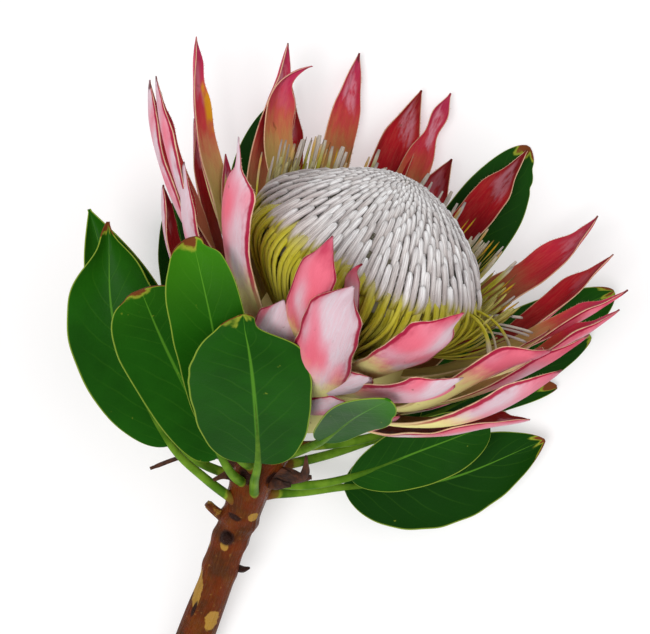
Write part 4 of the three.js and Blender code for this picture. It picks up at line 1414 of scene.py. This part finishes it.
def leaf_surface(points, form, seed, s, q):
    """A leaf blade at shares s along it and q from -1 to 1 across it: the half-width is s to one power times
    1 - s to another, scaled to its widest place. The margins rise with the square of q, fold up towards a
    pointed tip, and wave a little. Also gives its normals."""
    left, right, roll, rise, foot_power, tip_power, fold, notches = form
    line = catmull(points, 0.5 + 0.5 * s)
    along = unit(np.gradient(line, axis=0))
    across = unit(np.cross(along, [0.0, 0.0, 1.0]))
    turn = math.radians(roll)
    across = across * math.cos(turn) + np.cross(along, across) * math.sin(turn)
    up = unit(np.cross(across, along))[:, None]
    across = across[:, None]
    column = s[:, None]
    widest = foot_power / (foot_power + tip_power)
    most = widest**foot_power * (1 - widest) ** tip_power
    half = column**foot_power * (1 - column) ** tip_power / most * np.where(q < 0, left, right)
    for side, place, depth, reach in notches:
        half = half * (1 - depth * bell(place, reach, column) * (np.sign(q) == side))
    half = np.maximum(half * (1 + 0.012 * ripple(seed, 20 * column, 2 * np.sign(q))), 0.5)
    bent = math.tan(math.radians(rise)) + 0.5 * fold * ease(0.62, 1, column)
    wave = 0.5 * ripple(seed + 9, 7 * column, 1.5 * q) * q * q * ease(0.05, 0.3, column)
    lift = bent * half * q * q + wave * (rise > 0)
    surface = line[:, None] + across * (half * q)[..., None] + up * lift[..., None]
    slope = np.gradient(lift, axis=1) / np.gradient(half * q, axis=1)
    return surface, unit(up - across * slope[..., None])


def leaf_skin(points, form, look, seed):
    """A blade, its petiole and the midrib that carries on from it, tapering to the tip."""
    skin = Skin(*LEAF_VALUES)
    tip_brown, yellow = look
    rows, cells = LEAF_GRID
    s = 0.003 + 0.994 * np.linspace(0, 1, rows)
    q = margin_steps(cells)[None, :]
    surface, normal = leaf_surface(points, form, seed, s, q)
    column = s[:, None]
    edge = np.abs(q)
    thick = 0.85 * (1 - 0.45 * edge**3) * np.ones_like(column)
    worn = ripple(seed + 3, 5 * q, 9 * column)
    brown = ease(0.86, 1.0, column + 0.035 * worn) + 0.35 * bell(1, 0.02, edge) * ease(0.55, 0.9, column)
    rings = blade_rings(surface, normal, thick)
    rings[..., 2] = np.maximum(rings[..., 2], FLOOR_GAP)
    skin.add(
        rings,
        along=column,
        across=both_faces(q),
        under=both_faces(np.zeros_like(q), np.ones_like(q)),
        brown=both_faces(tip_brown * brown),
        yellow=yellow,
    )

    # Petiole and midrib, which run from the stem to just short of the tip
    t = np.linspace(0, 0.975, 70)
    radius = np.interp(t, (0, 0.09, 0.5, 0.6, 0.75, 0.975), (2.9, *PETIOLE_RADIUS, 0.85, 0.55, 0.2))
    flat = np.interp(t, (0, 0.5, 0.6, 1), (1, 0.9, 0.62, 0.75))
    stalk = np.interp(t, (0.05, 0.2, 0.5, 0.62, 0.85), (0, 1, 0.85, 0.45, 0.2))
    # Painted shade: the shaded leaves get less of the pale stalk colour along their midribs
    stalk = stalk * (1 + 0.5 * min(yellow, 0) * ease(0.45, 0.6, t))
    rusty = np.interp(t, (0.05, 0.2), (1, 0))
    rod = rod_rings(catmull(points, t), radius, 14, flat)
    rod[..., 2] = np.maximum(rod[..., 2], FLOOR_GAP)
    values = {"along": np.clip(2 * t - 1, 0, 1), "stalk": stalk, "brown": rusty}
    skin.add(rod, across=0.3, yellow=yellow, **columns(values))
    return skin


def fringe_skin(per_margin):
    """Short hairs along the margins of the shown bracts, which lean outwards and to the tip."""
    skin = Skin("along")
    v = np.array([0, 0.5, 1.0])
    q = np.array([-1, -0.94, 0.94, 1.0])[None, :]
    for k, (row, look) in enumerate(zip(BRACTS, BRACT_LOOKS)):
        random = np.random.default_rng(FRINGE_SEED + k)
        s = np.sort(random.uniform(0.22, 0.95, per_margin))
        surface, normal, _ = bract_surface(row, look, k, np.concatenate([[0.21], s, [0.96]]), q)
        along = unit(np.gradient(surface, axis=0))[1:-1]
        surface, normal = surface[1:-1], normal[1:-1]
        for margin, inside in ((0, 1), (3, 2)):
            out = unit(surface[:, margin] - surface[:, inside])
            lean = random.uniform(0.2, 1.0, (per_margin, 1)) * along[:, margin]
            way = unit(out + lean + 0.3 * random.normal(size=(per_margin, 3)))
            way = way * random.uniform(0.2, 0.8, (per_margin, 1))
            root = surface[:, margin] - 0.1 * out
            add_hairs(skin, root, way, v, HAIR_RADIUS * (1 - 0.8 * v), normal[:, margin] + 0.013)
    return skin


# What a user may change


def shade(name, code, text):
    """A colour that a user may change."""
    return bpy.props.FloatVectorProperty(
        name=name, description=text, default=colour(code), subtype="COLOR", min=0.0, max=1.0
    )


def number(name, default, text):
    """A count that a user may change."""
    return bpy.props.IntProperty(name=name, description=text, default=default, min=1, max=4000)


def measure(name, default, text, **more):
    """A size, angle or share that a user may change."""
    return bpy.props.FloatProperty(name=name, description=text, default=default, **more)


class ProteaSizes(bpy.types.PropertyGroup):
    """How many of each small part are made, and where the camera stands."""

    dome_florets: number("Dome florets", 470, "Closed florets that form the white dome")
    wool_per_floret: number("Wool", 10, "Short hairs on the dome for each of its florets")
    green_tubes: number("Green tubes", 330, "Tubes that show under the dome")
    open_florets: measure("Open florets", 1.0, "Share of the shorter open florets that are made", min=0.1)
    margin_hairs: number("Margin hairs", 110, "Hairs along each margin of a bract")
    camera_height: measure("Camera height", 0.9, "Height of the lens above the floor", unit="LENGTH")
    camera_turn: measure(
        "Camera turn", math.radians(26), "Turn of the picture about the line of sight", unit="ROTATION"
    )
    lens: measure("Focal length", 130.5, "Focal length of the lens in millimetres", unit="CAMERA")


class ProteaShades(bpy.types.PropertyGroup):
    """The colours of the flower, its leaves, its stem and the floor."""

    cream: shade("Cream foot", "eae094", "Foot of a bract's outer face")
    salmon: shade("Salmon", "eca08c", "Lower middle of the outer face")
    salmon_red: shade("Salmon red", "d24b50", "Stripe down the middle of some bracts")
    rose: shade("Rose", "e46e82", "Upper middle of the outer face")
    rose_deep: shade("Deep rose", "b42c4c", "Fine lines on the outer face")
    silver_pink: shade("Silver pink", "d8a4b4", "Upper part of the outer face")
    # Silver down, whose whiter part also serves as a painted sheen
    silver_down_and_sheen: shade("Silver down", "d2ccd4", "Down over the outer face")
    margin_red: shade("Margin red", "a01238", "Dark line inside the margin")
    margin_cream: shade("Margin cream", "e2c49c", "Thin rim of a bract")
    cream_inside: shade("Inner cream", "b5a45c", "Lower part of the palest inner faces")
    olive_foot: shade("Olive foot", "80702c", "Foot of a pale inner face")
    tan: shade("Tan", "b08a50", "Lower part of a pale inner face")
    peach: shade("Peach", "cc7c60", "Middle of a pale inner face")
    orange: shade("Orange", "dc9a20", "Streak along the margin of one inner face")
    scarlet: shade("Scarlet", "c8323c", "Upper half of a pale inner face")
    magenta: shade("Magenta", "b83060", "End of a pale inner face")
    brown_foot: shade("Brown foot", "7c5636", "Foot of a dark inner face")
    # Also the cloudy painted shadow on the red inner faces
    crimson_dark: shade("Dark crimson", "640a12", "Lower part of a dark inner face")
    crimson: shade("Crimson", "80080f", "Middle of a dark inner face")
    red: shade("Red", "a81420", "Upper part of a dark inner face")
    brown: shade("Brown", "6e3a1c", "Spots, hairs and withered edges")
    dark_tip: shade("Dark tip", "4a2018", "Tips and scars")
    wool: shade("Wool", "ffffff", "Ends of the dome's florets")
    # Mixed in by tone: the florets' own variation and painted shade
    wool_shade: shade("Shaded wool", "d2cac6", "Darker ones of the dome's florets")
    beige: shade("Beige", "d2c6b6", "Ends of the open florets")
    # Painted shade in the florets' grooves, along their fibres and on their flanks
    mauve_shade: shade("Mauve", "8c8080", "Grooves and flanks of the florets")
    green_light: shade("Light green", "b8b02a", "Upper part of the green tubes")
    # Paler streaks in the tubes that also serve as painted highlights
    green_streak_and_highlight: shade("Yellow green", "c8c252", "Streaks in the green tubes")
    # Mixed in by tone: painted shade on the deeper and lower tubes, and their own variation
    green_olive: shade("Olive", "8a8014", "Lower part of the green tubes")
    pollen: shade("Pollen", "c99a20", "Pollen on the styles")
    leaf: shade("Leaf", "1b520b", "Leaf blade")
    leaf_fresh: shade("Fresh leaf", "3c8010", "Fresher green towards the ends of some leaves")
    leaf_dark: shade("Dark leaf", "154408", "Darker parts of the blade")
    # Painted shade for the leaves that lie in shadow under the head and bracts
    leaf_shadow: shade("Leaf, far", "0a2a05", "Leaves that lie far back, under the head")
    leaf_under: shade("Under side", "22600c", "Under side of the blade")
    leaf_yellow: shade("Yellow leaf", "8a962c", "Yellowing parts of the blade")
    leaf_edge: shade("Leaf margin", "8aa038", "Thin rim of a leaf")
    vein: shade("Vein", "5c9628", "Midrib and side veins")
    stalk: shade("Stalk", "4a7018", "Petiole")
    stalk_light: shade("Light stalk", "6c9028", "Lighter parts of the petiole")
    bark_red: shade("Red bark", "682806", "Bark")
    bark_brown: shade("Brown bark", "4a2408", "Browner bark")
    bark_tan: shade("Tan bark", "6e400c", "Fibres in the bark")
    bark_dark: shade("Dark bark", "3a1c08", "Cracks in the bark")
    bark_pale: shade("Pale bark", "a87e40", "Specks on the bark")
    wood: shade("Wood", "a27c24", "Bare patches and the cut end")
    dry: shade("Dry scale", "5e3320", "Withered scales")
    # Also the dark scars and the painted shade in the neck of the stem
    dry_dark: shade("Dark dry scale", "2c1610", "Darker withered scales")
    core: shade("Core", "8a801e", "Depth between the green florets")
    core_pale: shade("Pale core", "8c8672", "Depth between the dome's florets")
    floor: shade("Floor", "fbfafa", "Floor under the flower")


# Operators


class PROTEA_OT_stage(bpy.types.Operator):
    """Camera over the flower, a pale floor and soft studio light"""

    bl_idname = "protea.stage"
    bl_label = "Camera, floor and light"

    def execute(self, context):
        scene, sizes, shades = context.scene, context.scene.protea_sizes, context.scene.protea_shades
        camera = bpy.data.cameras.new("camera")
        camera.lens = sizes.lens
        camera.sensor_width = SENSOR_WIDTH
        camera.clip_start = 0.01
        scene.camera = placed("camera", camera)
        scene.camera.location = (*CAMERA_PLACE, sizes.camera_height)
        scene.camera.rotation_euler = (0.0, 0.0, sizes.camera_turn)

        floor = bpy.data.meshes.new("floor")
        corners = [(x * FLOOR_REACH, y * FLOOR_REACH, 0) for x, y in ((-1, -1), (1, -1), (1, 1), (-1, 1))]
        floor.from_pydata(corners, [], [(0, 1, 2, 3)])
        floor.materials.append(plain_material("floor", shades.floor, 0.995, 0.85, glow=FLOOR_GLOW))
        placed("floor", floor)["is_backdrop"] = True

        for name, turn, strength, spread in LIGHTS:
            sun = bpy.data.lights.new(name, "SUN")
            sun.energy = strength
            sun.angle = math.radians(spread)
            placed(name, sun).rotation_euler = turn
        world = bpy.data.worlds.new("studio")
        world.use_nodes = True
        background = world.node_tree.nodes["Background"].inputs
        background["Color"].default_value = (1.0, 1.0, 1.0, 1.0)
        background["Strength"].default_value = SKY_STRENGTH
        scene.world = world
        scene.view_settings.view_transform = "Standard"
        return {"FINISHED"}


class PROTEA_OT_stem(bpy.types.Operator):
    """The woody stem with its buds, and the dry scales round the leaf stalks"""

    bl_idname = "protea.stem"
    bl_label = "Stem and dry scales"

    def execute(self, context):
        shades = context.scene.protea_shades
        skin = stem_skin()
        for k, growth in enumerate(STUB_AND_BUDS):
            add_growth(skin, growth, BUD_SEED + k, patch=0.4 if k == 0 else 0.0, scar=0.0 if k == 0 else 1.0)
        skin.object("stem_bark", [bark_material(shades)], "bark", "stem")
        scales = Skin()
        for k, growth in enumerate(DRY_SCALES):
            add_growth(scales, growth, SCALE_SEED + k)
        scales.object("dry_scales", [dry_material(shades)], "bark")
        return {"FINISHED"}


class PROTEA_OT_bracts(bpy.types.Operator):
    """The pointed bracts round the head, the shorter rows under it and the hairs on their margins"""

    bl_idname = "protea.bracts"
    bl_label = "Bracts"

    def execute(self, context):
        sizes, shades = context.scene.protea_sizes, context.scene.protea_shades
        material = bract_material(shades)
        skin = Skin(*BRACT_VALUES)
        for k, (row, look) in enumerate(zip(BRACTS, BRACT_LOOKS)):
            add_bract(skin, row, look, k, BRACT_GRID)
        skin.object("bracts_outer", [material], "bract", "bracts")
        hidden = Skin(*BRACT_VALUES)
        add_turned(hidden, RECEPTACLE, RECEPTACLE_GRID, along=0.1, across=0.2, silver=0.3, cream=0.3)
        for k, row in enumerate(hidden_rows()):
            add_bract(hidden, row, HIDDEN_LOOK, HIDDEN_BRACT_SEED + k, HIDDEN_GRID)
        hidden.object("bracts_under", [material], "bract", "bracts")
        fringe_skin(sizes.margin_hairs).object("bract_hairs", [hair_material(shades)], "bract")
        return {"FINISHED"}


class PROTEA_OT_florets(bpy.types.Operator):
    """The white dome of closed florets, the green tubes under it, and the open florets and styles"""

    bl_idname = "protea.florets"
    bl_label = "Florets"

    def execute(self, context):
        sizes, shades = context.scene.protea_sizes, context.scene.protea_shades
        white = floret_material("dome floret", shades, shades.wool, 0.7)
        green = floret_material("green floret", shades, shades.beige, 0.6)
        core = plain_material("green core", shades.core, 0.3, 0.9)
        pale_core = plain_material("pale core", shades.core_pale, 0.3, 0.9)
        dome = dome_skin(sizes.dome_florets)
        add_turned(dome, DOME, DOME_CORE_GRID, DOME_CORE_DEPTH, kind=1)
        dome.object("dome_fingers", [white, pale_core], "white_floret", "dome_florets")
        dome_wool(sizes.dome_florets * sizes.wool_per_floret).object("dome_wool", [white], "white_floret")
        tubes = tubes_skin(sizes.green_tubes)
        add_turned(tubes, [DOME[-1], *TUBES], TUBES_CORE_GRID, TUBES_CORE_DEPTH, kind=1)
        tubes.object("green_tubes", [green, core], "green_floret", "green_florets")
        loose = Skin(*FLORET_VALUES)
        add_open_florets(loose, sizes.open_florets)
        loose.object("open_florets", [green], "green_floret")
        return {"FINISHED"}


class PROTEA_OT_leaves(bpy.types.Operator):
    """The fourteen leathery leaves with their stalks, one piece each"""

    bl_idname = "protea.leaves"
    bl_label = "Leaves"

    def execute(self, context):
        material = leaf_material(context.scene.protea_shades)
        for k, row in enumerate(zip(LEAVES, LEAF_FORMS, LEAF_LOOKS)):
            order = f"{k + 1:02d}"
            skin = leaf_skin(*row, LEAF_SEED + 20 * k)
            skin.object("blade_" + order, [material], "leaf", "leaf_" + order)
        return {"FINISHED"}


class PROTEA_PT_panel(bpy.types.Panel):
    """Buttons for each piece, with its counts and colours"""

    bl_label = "King protea"
    bl_space_type = "VIEW_3D"
    bl_region_type = "UI"
    bl_category = "Protea"

    def draw(self, context):
        column = self.layout.column()
        for operator in OPERATORS:
            column.operator(operator.bl_idname)
        for group in (context.scene.protea_sizes, context.scene.protea_shades):
            for key in group.bl_rna.properties.keys():
                if key not in ("rna_type", "name"):
                    column.prop(group, key)


OPERATORS = (PROTEA_OT_stage, PROTEA_OT_stem, PROTEA_OT_bracts, PROTEA_OT_florets, PROTEA_OT_leaves)
CLASSES = (ProteaSizes, ProteaShades, *OPERATORS, PROTEA_PT_panel)


def register():
    for cls in CLASSES:
        bpy.utils.register_class(cls)
    bpy.types.Scene.protea_sizes = bpy.props.PointerProperty(type=ProteaSizes)
    bpy.types.Scene.protea_shades = bpy.props.PointerProperty(type=ProteaShades)


def unregister():
    del bpy.types.Scene.protea_shades
    del bpy.types.Scene.protea_sizes
    for cls in reversed(CLASSES):
        bpy.utils.unregister_class(cls)


def main():
    """Builds every piece in order."""
    register()
    bpy.ops.protea.stage()
    bpy.ops.protea.stem()
    bpy.ops.protea.bracts()
    bpy.ops.protea.florets()
    bpy.ops.protea.leaves()
    boxes = {"cad": CAD_BOX, "visual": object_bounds()}
    boxes = {name: [list(low), list(high)] for name, (low, high) in boxes.items()}


if __name__ == "__main__":
    main()
